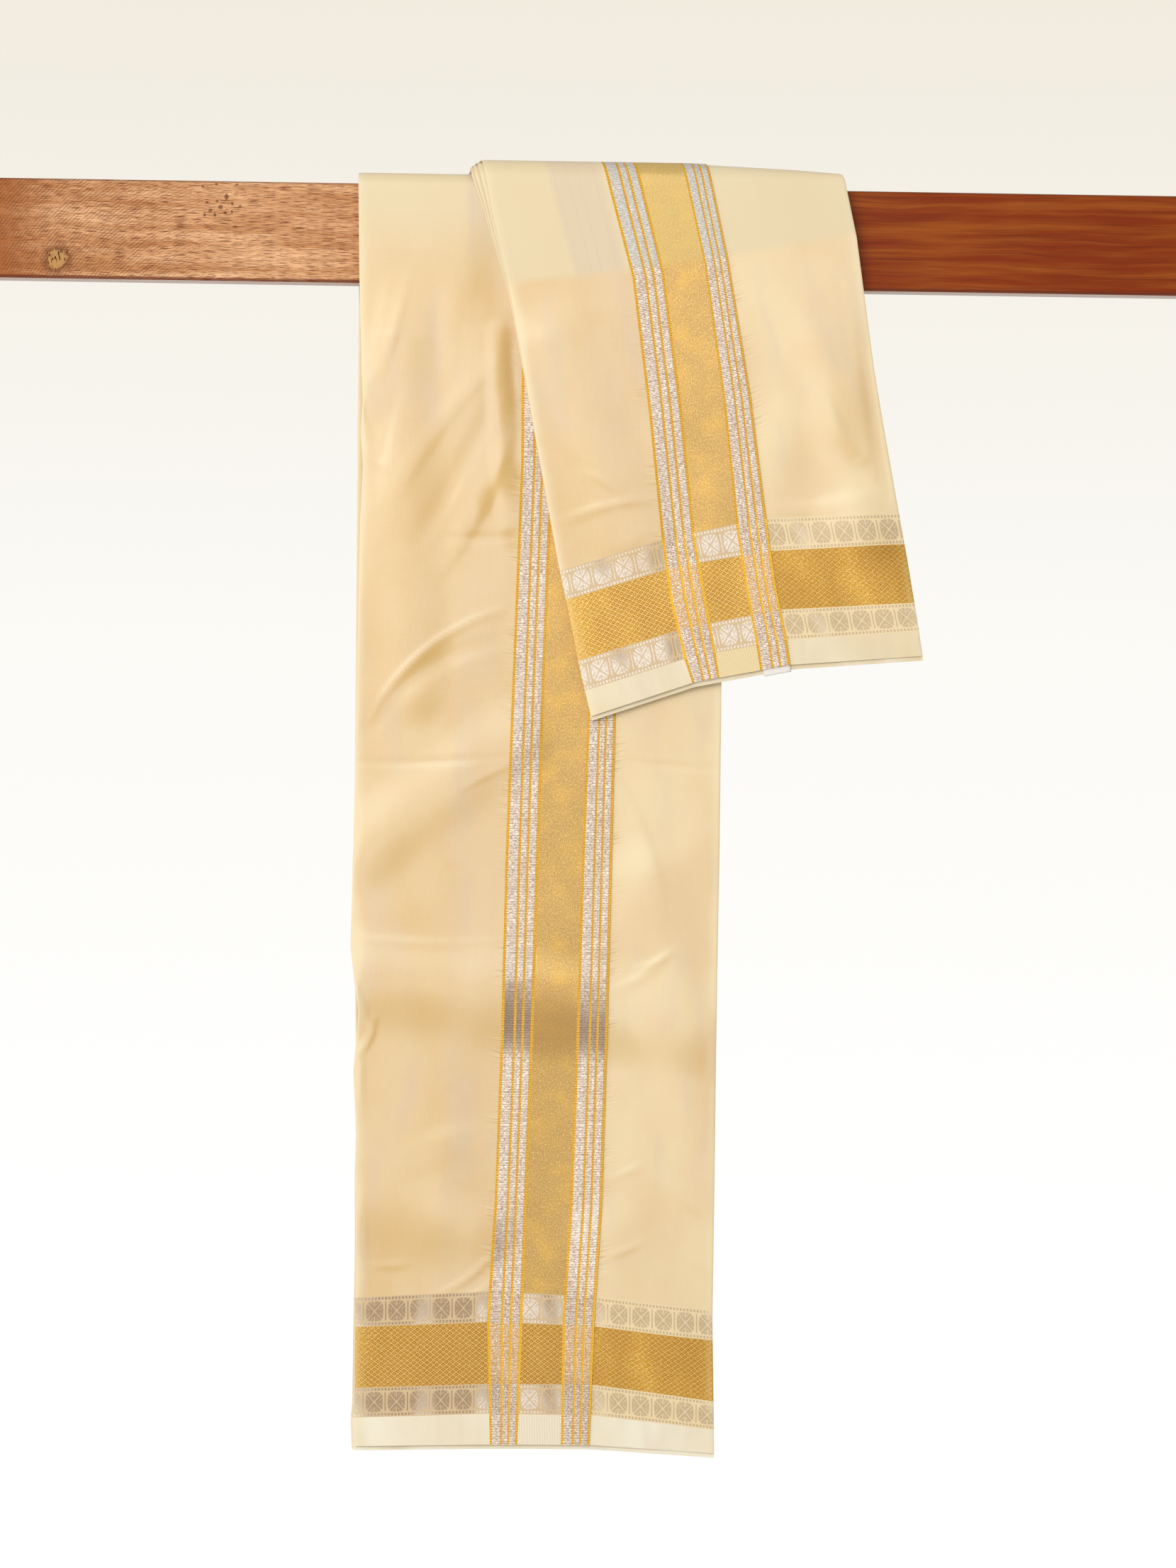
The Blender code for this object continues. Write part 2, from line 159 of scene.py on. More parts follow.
SHORT_FRONT_CREASES = [Crease(*row) for row in (
    (-1, -207, 34, -227, -3, 7, 0.4, 0.99), (-16, -248, 63, -229, -4, 7, 0.4, 0.93),
    (-34, -190, 48, -263, -6, 22, 0.2, -1.19), (-61, -84, -28, -190, 4, 20, 0.2, 0.94),
    (85, -384, 102, -394, 1, 6, 0.3, 0.81), (82, -342, 92, -371, 2, 9, 0.4, -1.24),
    (209, -136, 242, -189, 5, 13, 0.4, 1.1), (169, -37, 221, -186, -8, 24, 0.2, 1.02),
    (241, -49, 265, -222, 3, 9, 0.3, -0.74), (232, 15, 238, 4, 0, 6, 0.2, -0.99),
    (-30, -59, 26, -64, 2, 16, 0.2, 0.77), (166, -236, 253, -223, 3, 12, 0.3, 0.85),
    (234, 10, 271, -185, 0, 5.5, 0.0, -0.56),
)]
LONG_BACK_CREASES = [Crease(*row) for row in (
    (-120, -180, -170, -420, 12, 14, 0.4, 1.3), (60, -200, 90, -430, 8, 14, -0.4, 1.2),
    (-190, -455, 100, -462, 4, 5, 0.0, -0.8), (-180, -690, -70, -640, -8, 10, 0.4, 1.3),
    (30, -700, 120, -790, 6, 11, 0.4, 1.3),
)]
SHORT_BACK_CREASES = [Crease(*row) for row in (
    (-90, -150, -60, -330, 8, 12, 0.4, 1.2), (60, -140, 120, -360, 10, 12, -0.4, 1.2),
    (-160, -280, 80, -262, 5, 6, 0.0, -0.8),
)]

# How far the top of the short cloth sinks towards its right edge, where only the bar is below it
Sag = namedtuple("Sag", "across drop")
SHORT_SAG = [Sag(20, 0.0), Sag(110, 4.0), Sag(146, 7.0)]
NO_SAG = [Sag(0, 0.0)]

# How far the left fold of the showing layers wanders out of line
Wander = namedtuple("Wander", "run shift")
LONG_WANDER = [
    Wander(-845, 4.5), Wander(-790, 3.0), Wander(-640, 0.0),
    Wander(100, 0.0), Wander(190, 1.0), Wander(214, 2.0), Wander(240, -0.5), Wander(271, 1.5),
    Wander(320, 0.0), Wander(600, 0.0), Wander(650, -1.5), Wander(690, -3.0), Wander(722, 0.5),
    Wander(748, 3.5), Wander(775, 1.0), Wander(800, -1.5), Wander(850, 0.5), Wander(900, -1.0),
    Wander(960, 0.0), Wander(1090, 0.0), Wander(1105, -1.5), Wander(1127, 0.0),
]
NO_WANDER = [Wander(0, 0.0)]
WANDER_REACH = 12 * MM

# Painted shade of broad shallow hollows of each cloth's face: middle, half width, half height, loss
# of light.
# A loss below nothing is a painted highlight, a place that shines.
Hollow = namedtuple("Hollow", "x z half_wide half_tall loss")
LONG_HOLLOW_SHADES = [
    Hollow(-92, -20, 17, 70, 0.46), Hollow(-74, -122, 13, 55, 0.34), Hollow(-88, -215, 14, 50, 0.2),
    Hollow(-150, -855, 60, 34, 0.27), Hollow(-60, -870, 60, 26, 0.18),
    Hollow(-188, -300, 10, 120, 0.12), Hollow(-68, -212, 13, 15, 0.4),
    Hollow(-86, -232, 12, 13, 0.3), Hollow(-64, -268, 10, 8, 0.3),
    Hollow(-216, -183, 8, 22, -0.5), Hollow(-207, -681, 10, 34, -0.6),
    Hollow(-100, -660, 90, 26, 0.12), Hollow(70, -668, 60, 26, 0.14),
    Hollow(60, -930, 50, 30, 0.12), Hollow(72, -590, 40, 60, -0.12),
]
SHORT_HOLLOW_SHADES = [Hollow(214, -180, 42, 90, 0.15), Hollow(26, -275, 40, 22, 0.16)]

# The long cloth's strip lies hollow here, with painted shade: top, bottom, height of the soft top
# edge, loss of light
STRIP_SHADE = ((-648, -722, 6, 0.36), (-975, -1400, 30, 0.2))
STRIP_SHADE_CURVE = 0.7

Cloth = namedtuple(
    "Cloth",
    "name turn middle crest radius half_depth stack edges rows folds creases sag wander hollows "
    "cut_width below",
)
BAR_CLEAR = BAR_DEPTH / 2 + GAP
LONG_HALF_DEPTH = BAR_CLEAR + LAYERS_DEPTH + LONG_STACK
SHORT_HALF_DEPTH = LONG_HALF_DEPTH + GAP + LAYERS_DEPTH + SHORT_STACK
LONG = Cloth(
    "long", math.radians(0.6), -45 * MM, 53.6 * MM, 12 * MM, LONG_HALF_DEPTH, LONG_STACK,
    LONG_EDGES, LONG_ROWS, (LONG_FRONT_FOLDS, LONG_BACK_FOLDS),
    (LONG_FRONT_CREASES, LONG_BACK_CREASES), NO_SAG, LONG_WANDER, LONG_HOLLOW_SHADES, 1.27, None,
)
SHORT = Cloth(
    "short", math.radians(11.2), 66 * MM, 66 * MM, 17 * MM, SHORT_HALF_DEPTH, SHORT_STACK,
    SHORT_EDGES, SHORT_ROWS, (SHORT_FRONT_FOLDS, SHORT_BACK_FOLDS),
    (SHORT_FRONT_CREASES, SHORT_BACK_CREASES), SHORT_SAG, NO_WANDER, SHORT_HOLLOW_SHADES, 1.2, LONG,
)

# Heights between which the folds and creases grow from nothing to their full height
FOLD_FADE_TOP = -20 * MM
FOLD_FADE_FULL = -90 * MM
CREASE_END = 0.35
MOST_HOLLOW = 1.0 * MM
UNEVEN_HEIGHT = 0.5 * MM

# How the folds catch the light, painted into the colour as highlight and shade, and how much more
# painted highlight the folded edges get
SHINE_GAIN = 4.0
SHINE_SIDEWAYS = 0.6
SHINE_UPWARDS = 0.9
ROUNDED_OFF = 0.5
EDGE_LIGHT = 0.4
EDGE_REACH = 7 * MM

# Where the bar behind the cloth stops keeping back the light from behind, and the painted tone on
# the bar ends. On the short one it is a bent line, in millimetres from its left end; on the long
# one and at the back it fades out between two heights.
BAR_LINE_START = -67
BAR_LINE = (-43, 0.12, 0.00013)
BAR_LINE_BLUR = 6
LONG_TONE_FADE = (-58 * MM, 22 * MM)
LONG_TONE_CURVE = 1.3
BACK_TONE_FADE = (-60 * MM, -20 * MM)

# Places across that the lines of a grid are sampled at, and rounds to find where lines cross
SAMPLES = np.linspace(-0.2, 0.2, 81)
PLACE_ROUNDS = 6
CORNER_SHARES = (0.85, 0.7, 0.55, 0.4, 0.25, 0.1)
TURN_ANGLES = (25, 50, 70, 90)
COARSE_STEP = 13 * MM
COARSE_BACK_STEP = 20 * MM
HIDDEN_STEP = 14 * MM

# Depths of the folded layers below the bundle's face, for the long cloth; the short one's are
# scaled. Folds are rounded off: millimetres from the edge, share of the depth.
Column = namedtuple("Column", "first last share shift depth zone fine fan", defaults=(0.0, 0.0))
FOLD_ROUND = ((0.0, 0.5), (0.2, 0.28), (0.7, 0.1), (1.6, 0.02), (3.0, 0.0))
FOLD_START = ((0.0, 0.0), (0.25, 0.35), (0.9, 0.8), (2.0, 1.0))
FOLD_END = ((2.0, 0.0), (0.9, 0.1), (0.25, 0.32))
HIDDEN_DEPTH = 1.3 * MM
SIDE_DEPTH = 0.8 * MM
RIGHT_FOLD_DEPTH = SIDE_DEPTH + 0.5 * HIDDEN_DEPTH
# How far the side layer is tucked under the selvedge, and how strong the fine creases are there
TUCK = 6 * MM
TUCK_CREASES = 0.3
SELVEDGE_LAP = 0.5 * MM
LAYER_WIDTH = 0.31
LAST_LAYER_WIDTH = 0.098
INNERMOST = 6.4
BUNDLE_DEPTH = 6.5
INNERMOST_DROP = 3 * MM
# Columns of the innermost layer that fan out at the left: up to this share of the width
FANNED_SHARE = 0.3
# Layers folded to and fro: depth of each, how far each fans out at the left, drop at the hem
Serpentine = namedtuple("Serpentine", "depths fans drop")
OUTER_LAYERS = Serpentine((2.2, 2.8, 3.2), (0.3, 0.45, 0.5), 4 * MM)
INNER_LAYERS = Serpentine((4.6, 4.0, 3.6), (0.85, 0.7, 0.6), 2 * MM)

# Lengthwise zones of the showing layer from the selvedge to the left fold, with their two lines
ZONES = {
    "silver_right": ("gold_end", "selvedge"),
    "gold": ("gold", "gold_end"),
    "silver_left": ("silver", "gold"),
    "face": ("left", "silver"),
}
MOTIF_HEIGHT = 27 * MM
LATTICE_HEIGHT = 53.5 * MM
ROW_PIECES = {
    "lower_silver": ("silver_rows", MOTIF_HEIGHT),
    "gold": ("gold_rows", LATTICE_HEIGHT),
    "upper_silver": ("silver_rows", MOTIF_HEIGHT),
}
# Where the cloth maps of the layer right of the selvedge and of the hidden layers start
SIDE_MAP = 0.3
HIDDEN_MAP = 0.6

# Pieces of a cloth: name, slot, finishes in the order of the numbers below, solids they stand for
FACE, REVERSE, HEM, STRIPED_HEM = range(4)
CROSSINGS = {"lower_silver": 1, "upper_silver": 1, "gold": 2}
SILKS = ("silk", "reverse", "hem", "striped_hem")
Piece = namedtuple("Piece", "name slot finishes solids")
PIECES = (
    Piece("silk", "silk", SILKS, ("face_hem", "face_body", "side_hem", "side_body")),
    Piece(
        "silver_bands", "silver_zari", ("silver_band", "silver_crossing", "mixed_crossing"),
        ("border_silver_left", "border_silver_right"),
    ),
    Piece("gold_band", "gold_zari", ("gold_band",), ("border_gold",)),
    Piece(
        "silver_rows", "silver_zari", ("motifs", "motifs_reverse"),
        ("face_lower_silver", "face_upper_silver", "side_lower_silver", "side_upper_silver"),
    ),
    Piece("gold_rows", "gold_zari", ("lattice", "lattice_reverse"), ("face_gold", "side_gold")),
    Piece("under_layers", "silk", SILKS, ("front_layers", "top_layers", "back_layers")),
)

# Care label on the short cloth's hem, in millimetres. LABEL_SUNK is a share of the face wall.
LABEL_LEFT = 1
LABEL_RIGHT = 25
LABEL_SHOWS = 6
LABEL_TUCK = 5
LABEL_CURL = 0.35
LABEL_THICKNESS = 0.25
LABEL_SUNK = 0.6
LABEL_GRID = 4
LABEL_COLUMNS, LABEL_ROWS = 13, 7

# Lengths on the cloth are in millimetres from here to the wood.
# Pale lengthwise band of the layer below that shows through the silk, and the lines in it
GHOST_MIDDLE, GHOST_HALF, GHOST_BLUR = -26.0, 22.0, 4.0
GHOST_LINES = (-44.0, -33.0, -24.0, -10.0)
SHEEN_ROUGHNESS = 0.35
SHEEN_TINT = (1.0, 0.95, 0.84, 1.0)
PUCKER_REACH = 14.0
PUCKER_SLANT = 0.2
PUCKER_LENGTH = 26
HEM_STRIPE_PITCH = 2.2
# Gold lines of a silver band: place as a share of its width, and half width
BAND_LINES = ((0.035, 1.4), (0.42, 1.0), (0.67, 1.0), (0.965, 1.4))
BAND_WIDTH = 27.0
TISSUE_CORD = 1.3
MEDALLION_HALF = (7.3, 8.7)
MEDALLION_POWER = 3.2
MOTIF_STITCH = 0.62
MOTIF_BAR = (0.55, 8.2)
MOTIF_START = 7.0
DOT_PITCH = 1.48
DOT_UP = 11.4
DOT_HALF = (0.85, 1.15)

# Wood, in the bar's own millimetres: middle of the arcs that the saw left, and their pitch
SAW_MIDDLE = (-255.0, -189.0)
SAW_PITCH = 2.6
# Length and height of the streaks of the fine grain, the lines, the dashes and the broad grain
GRAINS = ((13, 0.42), (110, 1.4), (34, 0.9), (180, 9.0))
# Places along the bar between which the sawn part, the saw marks and the dark end grow stronger
SAWN_FADE = (-40.0, -100.0)
SAW_FADE = (-270.0, -420.0)
END_FADE = (-440.0, -530.0)
# Heights between which the two edges and the underside start
LOWER_EDGE = (-38.8, -40.8)
UPPER_EDGE = (41.5, 43.2)
UNDERSIDE = (-43.2, -43.8)
# Knots: middle along the bar and up, half width and half height
PALE_KNOT = (-464.0, -27.0, 11.0, 11.0)
KNOTS = (
    (-331, 18, 1.8, 1.9), (-322, 21, 2.4, 2.0), (-317, 30, 1.9, 3.0), (-326, 41, 1.6, 1.4),
    (-312, 17, 1.3, 1.5), (-334, 25, 1.5, 1.1), (-312, 24, 1.3, 1.9), (-327, 14, 1.4, 2.0),
    (-309, 4, 2.6, 0.9), (-308, 41, 1.4, 1.0), (-338, 39, 1.2, 1.5), (-325, 26, 1.2, 1.2),
    (-318, 16, 1.8, 1.4), (-336, 14, 1.2, 1.8), (-305, 22, 1.6, 0.9),
)

# Surroundings: height of the camera, the floor, and the light from all round
CAMERA_HEIGHT = -0.479
FLOOR_SIDES = 96
FLOOR_NOISE = 3.0
FLOOR_COLOURS = ((0.82, 0.81, 0.78), (0.86, 0.85, 0.82))
AMBIENT_COLOUR = (1.0, 0.985, 0.96, 1.0)
# Heights of the view between which the backdrop turns from white to warm, and its colours
BACKDROP_LOW, BACKDROP_HIGH = -0.12, 0.18
BACKDROP_COLOURS = (
    (0.0, (1.0, 1.0, 1.0, 1.0)), (0.5, (0.95, 0.94, 0.905, 1.0)), (1.0, (0.86, 0.81, 0.71, 1.0)),
)
# Lights: name, place, aim, width and height, colour
KEY_LIGHT = ("key_light", (-1.1, -3.0, 0.9), (0, 0, -0.45), (2.4, 2.0), (1.0, 0.97, 0.92))
SIDE_LIGHT = ("side_light", (-2.4, -0.7, -0.3), (0, 0, -0.5), (0.6, 2.0), (1.0, 0.98, 0.95))

FINISHES = {}


def rise(value, low, high):
    """0 at low and 1 at high, straight between them."""
    return np.clip((value - low) / (high - low), 0.0, 1.0)


def hanging(z):
    """0 on the bar and 1 below it, where the cloth may fold freely."""
    return rise(z, FOLD_FADE_TOP, FOLD_FADE_FULL)


def read_table(table, key, column, where):
    """Values of one column of a table at places between its rows, in metres."""
    rows = sorted(table, key=lambda row: getattr(row, key))
    places = np.array([getattr(row, key) for row in rows]) * MM
    values = np.array([getattr(row, column) for row in rows]) * MM
    return np.interp(where, places, values)


def corner_run(cloth):
    """Length of cloth from the crest to where the fall starts to hang straight."""
    return cloth.half_depth - cloth.radius + cloth.radius * math.pi / 2


def over_bar(cloth, run):
    """Places (y, z) and outward directions of the bundle's face at runs square to the bar."""
    flat = cloth.half_depth - cloth.radius
    front = np.where(run >= 0, -1.0, 1.0)
    angle = np.clip((np.abs(run) - flat) / cloth.radius, 0.0, math.pi / 2)
    hang = np.maximum(np.abs(run) - corner_run(cloth), 0.0)
    y = front * (np.minimum(np.abs(run), flat) + cloth.radius * np.sin(angle))
    z = cloth.crest - cloth.radius * (1 - np.cos(angle)) - hang
    return y, z, front * np.sin(angle), np.cos(angle)


def from_line(line, x, z):
    """Distances beside a line, signed, and past its ends, with the share along it."""
    start = np.array([line.from_x, line.from_z]) * MM
    way = np.array([line.to_x, line.to_z]) * MM - start
    length = float(np.hypot(*way))
    along = ((x - start[0]) * way[0] + (z - start[1]) * way[1]) / length**2
    beside = ((x - start[0]) * way[1] - (z - start[1]) * way[0]) / length
    past = (along - np.clip(along, 0.0, 1.0)) * length
    return beside, past, np.clip(along, 0.0, 1.0)


def ridge(away):
    """Height of a rounded ridge, 1 on its line and 0 from its half width on."""
    return (1 + np.cos(math.pi * np.minimum(away, 1.0))) / 2


def soft_lift(cloth, x, z, front, share):
    """How far the large soft folds stand out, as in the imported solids."""
    height = np.zeros_like(x)
    for side, folds in zip((True, False), cloth.folds):
        for fold in folds:
            beside, past, _ = from_line(fold, x, z)
            bump = fold.height * MM * ridge(np.hypot(beside, past) / (fold.half_width * MM))
            height += np.where(front == side, bump, 0.0)
    height *= hanging(z) * (1 - share)
    if cloth.below:
        height += soft_lift(cloth.below, x, z, front, 0.0)
    return height


def crease_lift(cloth, x, z, front):
    """Fine creases of the showing layers, placed one by one."""
    height = np.zeros_like(x)
    for side, creases in zip((True, False), cloth.creases):
        for crease in creases:
            beside, past, along = from_line(crease, x, z)
            beside = beside - crease.bend * MM * 4 * along * (1 - along)
            width = crease.half_width * MM * (1 + crease.lean * np.sign(beside))
            away = np.hypot(beside / width, past / (crease.half_width * MM))
            taper = CREASE_END + (1 - CREASE_END) * np.sin(math.pi * along)
            height += np.where(front == side, crease.height * MM * taper * ridge(away), 0.0)
    return height


def unevenness(x, z):
    """Slow, small waves of cloth that was pressed and unfolded by hand, in radians a metre."""
    broad = np.sin(41 * x + 1.3 * np.sin(17 * z)) * np.sin(29 * z + 0.9 * np.sin(23 * x))
    small = np.sin(83 * x + 41 * z + 2.1) * np.sin(61 * z - 29 * x)
    return UNEVEN_HEIGHT * (broad + 0.4 * small)


def shine_at(points):
    """How each place catches the light from the upper left, for the painted highlight and shade: 1
    facing it, 0 turned away.
    """
    normal = np.cross(np.gradient(points, axis=1), np.gradient(points, axis=0))
    normal /= np.maximum(np.linalg.norm(normal, axis=-1, keepdims=True), 1e-12)
    front = np.where(points[..., 1] < 0, -1.0, 1.0)
    normal *= (front * np.sign(normal[..., 1]))[..., None]
    sideways = normal[..., 0]
    edge = np.abs(sideways) > ROUNDED_OFF
    facing = np.where(edge, np.abs(sideways), sideways * front) * SHINE_SIDEWAYS
    facing += normal[..., 2] * SHINE_UPWARDS
    return 0.5 + 0.5 * np.tanh(facing * SHINE_GAIN) * hanging(points[..., 2])


def tone_at(cloth, points):
    """1 where the bar is behind the cloth, 0 below it, where the light comes through; this paints
    the tone on the bar.
    """
    x, y, z = points[..., 0], points[..., 1], points[..., 2]
    if cloth.below:
        away = x / MM - BAR_LINE_START
        line = BAR_LINE[0] + BAR_LINE[1] * away + BAR_LINE[2] * away**2
        tone = rise(z / MM - line, -BAR_LINE_BLUR / 2, BAR_LINE_BLUR / 2)
    else:
        tone = rise(z, *LONG_TONE_FADE) ** LONG_TONE_CURVE
    return np.where(y < 0, tone, rise(z, *BACK_TONE_FADE))


def extra_light(cloth, points, run, beside):
    """Painted highlight that the folded edges gain, less the painted shade of the hollows of the
    face and the strip.
    """
    x, z = points[..., 0] / MM, points[..., 2] / MM
    loss = np.zeros_like(x)
    for hollow in cloth.hollows:
        wide = (x - hollow.x) / hollow.half_wide
        tall = (z - hollow.z) / hollow.half_tall
        loss += hollow.loss * np.exp(-(wide**2) - tall**2)
    if not cloth.below:
        on_strip = (beside["silver"] > 0) & (beside["selvedge"] < 0)
        for top, bottom, soft, most in STRIP_SHADE:
            depth = rise(z, top, top - soft) * rise(z, bottom, top)
            loss += on_strip * most * depth**STRIP_SHADE_CURVE
    edge = np.minimum(np.abs(beside["left"]), np.abs(beside["right"])) / EDGE_REACH
    return EDGE_LIGHT * np.exp(-(edge**2)) - loss * (run > 0)


def cloth_points(cloth, across, run, depth, fine):
    """World places of points of the bundle, at depths below its face."""
    cos_turn = math.cos(cloth.turn)
    sin_turn = math.sin(cloth.turn)
    x = cloth.middle + across * cos_turn + run * sin_turn
    square_run = run * cos_turn - across * sin_turn
    y, z, out_y, out_z = over_bar(cloth, square_run)
    z = z - read_table(cloth.sag, "across", "drop", across) * out_z**2
    front = square_run >= 0
    share = rise(depth, LAYERS_DEPTH, LAYERS_DEPTH + cloth.stack)
    lift = np.maximum(crease_lift(cloth, x, z, front) + unevenness(x, z), -MOST_HOLLOW)
    out = soft_lift(cloth, x, z, front, share) - depth + fine * hanging(z) * lift
    return np.stack([x, y + out_y * out, z + out_z * out], axis=-1)


def edge_at(cloth, line, run):
    """Place across of one of the cloth's lengthwise lines at runs along it."""
    return read_table(cloth.edges, "run", line, run)


class ClothGrid:
    """Lines along and across one cloth; every layer is laid on the same rows."""

    def __init__(self, cloth, front_step, back_step):
        self.cloth = cloth
        self.lines = []
        self.zones = []
        woven = [self.woven_line(row) for row in cloth.rows]
        for row, low, high in zip(cloth.rows, woven, woven[1:]):
            self.blend(low, high, row.steps, row.name)
        corner = corner_run(cloth)
        flat = cloth.half_depth - cloth.radius
        fall = cloth.rows[-1].selvedge * MM - corner
        self.blend(woven[-1], self.straight_line(corner, 1.0), round(fall / front_step), "body")
        rounded = [flat + (corner - flat) * share for share in CORNER_SHARES]
        front = [*rounded, flat, flat / 2]
        for place in (*front, 0.0, *[-place for place in reversed(front)]):
            self.add_line(self.straight_line(place, 1.0), "body")
        back_end = cloth.edges[-1].run * MM
        last = self.straight_line(back_end, 0.0)
        steps = round((-back_end - corner) / back_step)
        self.blend(self.straight_line(-corner, 1.0), last, steps, "body")
        self.add_line(last, "body")
        self.lines = np.array(self.lines)

    def add_line(self, line, zone):
        """One more line across; its zone is what lies between it and the next line."""
        self.lines.append(line)
        self.zones.append(zone)

    def blend(self, low, high, steps, zone):
        """Lines in equal steps from one line up to, and without, the next."""
        for step in range(steps):
            self.add_line(low + (high - low) * step / steps, zone)

    def woven_line(self, row):
        """Run of a woven row at the sample places across."""
        names = ("left", "silver", "selvedge", "right")
        places = [getattr(self.cloth.edges[0], name) * MM for name in names]
        return np.interp(SAMPLES, places, [getattr(row, name) * MM for name in names])

    def straight_line(self, run, share):
        """Straight line across, turned by a share of the cloth's turn towards the bar."""
        turn = self.cloth.turn * share
        return run / math.cos(turn) + SAMPLES * math.tan(turn)

    def lay(self, columns):
        """Across and run of every row at every column, found in a few rounds."""
        middle = len(SAMPLES) // 2
        run = np.repeat(self.lines[:, middle:middle + 1], len(columns), axis=1)
        across = np.zeros_like(run)
        for _ in range(PLACE_ROUNDS):
            for index, column in enumerate(columns):
                start = edge_at(self.cloth, column.first, run[:, index])
                end = edge_at(self.cloth, column.last, run[:, index])
                across[:, index] = start + (end - start) * column.share + column.shift
            for row, line in enumerate(self.lines):
                run[row] = np.interp(across[row], SAMPLES, line)
        return across, run


def layer_depth(cloth, nominal):
    """Depth of a hidden layer, given in millimetres for the long cloth's bundle."""
    return nominal * (LAYERS_DEPTH + cloth.stack) / BUNDLE_DEPTH


def middle_edges(cloth):
    """The row of the cloth's edges that widths are read off."""
    return cloth.edges[len(cloth.edges) // 2]


def showing_columns(cloth, step, hidden_step):
    """Columns of the showing sheet: selvedge, strip, face, left fold, next layer, right fold."""
    edge = middle_edges(cloth)
    columns = [Column("selvedge", "selvedge", 0.0, 0.0, 0.0, "silver_right", 1.0)]
    names = list(ZONES)
    for place, (zone, (first, last)) in enumerate(ZONES.items()):
        count = round((getattr(edge, last) - getattr(edge, first)) * MM / step)
        lowest = 1 if zone == "face" else -1
        for index in range(count - 1, lowest, -1):
            following = zone if index else names[place + 1]
            columns.append(Column(first, last, index / count, 0.0, 0.0, following, 1.0))
    for away, share in reversed(FOLD_ROUND):
        depth = share * HIDDEN_DEPTH
        columns.append(Column("left", "left", 0.0, away * MM, depth, "face", 1.0))
    for away, share in FOLD_ROUND[1:]:
        depth = HIDDEN_DEPTH * (1 - share)
        columns.append(Column("left", "left", 0.0, away * MM, depth, "hidden"))
    hidden_width = (edge.silver - edge.left + 2 * (edge.gold_end - edge.gold)) * MM
    count = round(hidden_width / hidden_step)
    for index in range(1, count):
        columns.append(Column("left", "selvedge", index / count, 0.0, HIDDEN_DEPTH, "hidden"))
    columns.append(
        Column("selvedge", "selvedge", 0.0, -TUCK, HIDDEN_DEPTH, "side", TUCK_CREASES)
    )
    columns.append(Column("selvedge", "selvedge", 0.0, -SELVEDGE_LAP, SIDE_DEPTH, "side", 1.0))
    count = round((edge.right - edge.selvedge) * MM / step)
    for index in range(1, count - 1):
        columns.append(Column("selvedge", "right", index / count, 0.0, SIDE_DEPTH, "side", 1.0))
    for away, share in reversed(FOLD_ROUND):
        depth = SIDE_DEPTH + share * HIDDEN_DEPTH
        columns.append(Column("right", "right", 0.0, -away * MM, depth, "side", 1.0))
    return columns


def serpentine(cloth, depth, layers):
    """Columns of hidden layers folded to and fro, from the right fold; the last is a short one."""
    columns = []

    def add(share, shift, bent, fan):
        columns.append(Column("left", "right", share, shift * MM, bent, "hidden", 0.0, fan))

    depths = [layer_depth(cloth, nominal) for nominal in layers.depths]
    for place, (goal, fan) in enumerate(zip(depths, layers.fans)):
        leftwards = place % 2 == 0
        here, inwards = (1.0, -1.0) if leftwards else (0.0, 1.0)
        for away, share in FOLD_START:
            add(here, inwards * away, depth + (goal - depth) * share, fan * (1 - here))
        count = round(LAYER_WIDTH / HIDDEN_STEP)
        last = place == len(depths) - 1
        for index in range(1, round(LAST_LAYER_WIDTH / HIDDEN_STEP) + 1 if last else count):
            share = 1 - index / count if leftwards else index / count
            add(share, 0.0, goal, fan * (1 - share) ** 3)
        if not last:
            following = depths[place + 1]
            for away, share in FOLD_END:
                add(1 - here, -inwards * away, goal + (following - goal) * share, fan * here)
            depth = goal + (following - goal) * 0.5
    return columns


def lay_sheet(grid, columns, hem_drop=0.0):
    """World places, across and run of a sheet of columns, with its turn at the back's lower end."""
    cloth = grid.cloth
    across, run = grid.lay(columns)
    across = across - edge_at(cloth, "reach", run) * np.array([c.fan for c in columns])
    beside = np.exp(-(((across - edge_at(cloth, "left", run)) / WANDER_REACH) ** 2))
    across = across + read_table(cloth.wander, "run", "shift", run) * beside
    fine = np.array([[c.fine for c in columns]])
    depth = np.repeat([[c.depth for c in columns]], len(run), axis=0)
    hem_rows = grid.zones.index("lower_silver")
    run = run + hem_drop * rise(np.arange(len(run)), hem_rows, 0)[:, None]
    middle = (LAYERS_DEPTH + cloth.stack) / 2
    end, radius = run[-1], np.abs(middle - depth[-1])
    for angle in TURN_ANGLES:
        sine, cosine = math.sin(math.radians(angle)), math.cos(math.radians(angle))
        run = np.vstack([run, end - radius * sine])
        across = np.vstack([across, across[-1]])
        depth = np.vstack([depth, depth[0] + (middle - depth[0]) * (1 - cosine)])
    return cloth_points(cloth, across, run, depth, fine), across, run


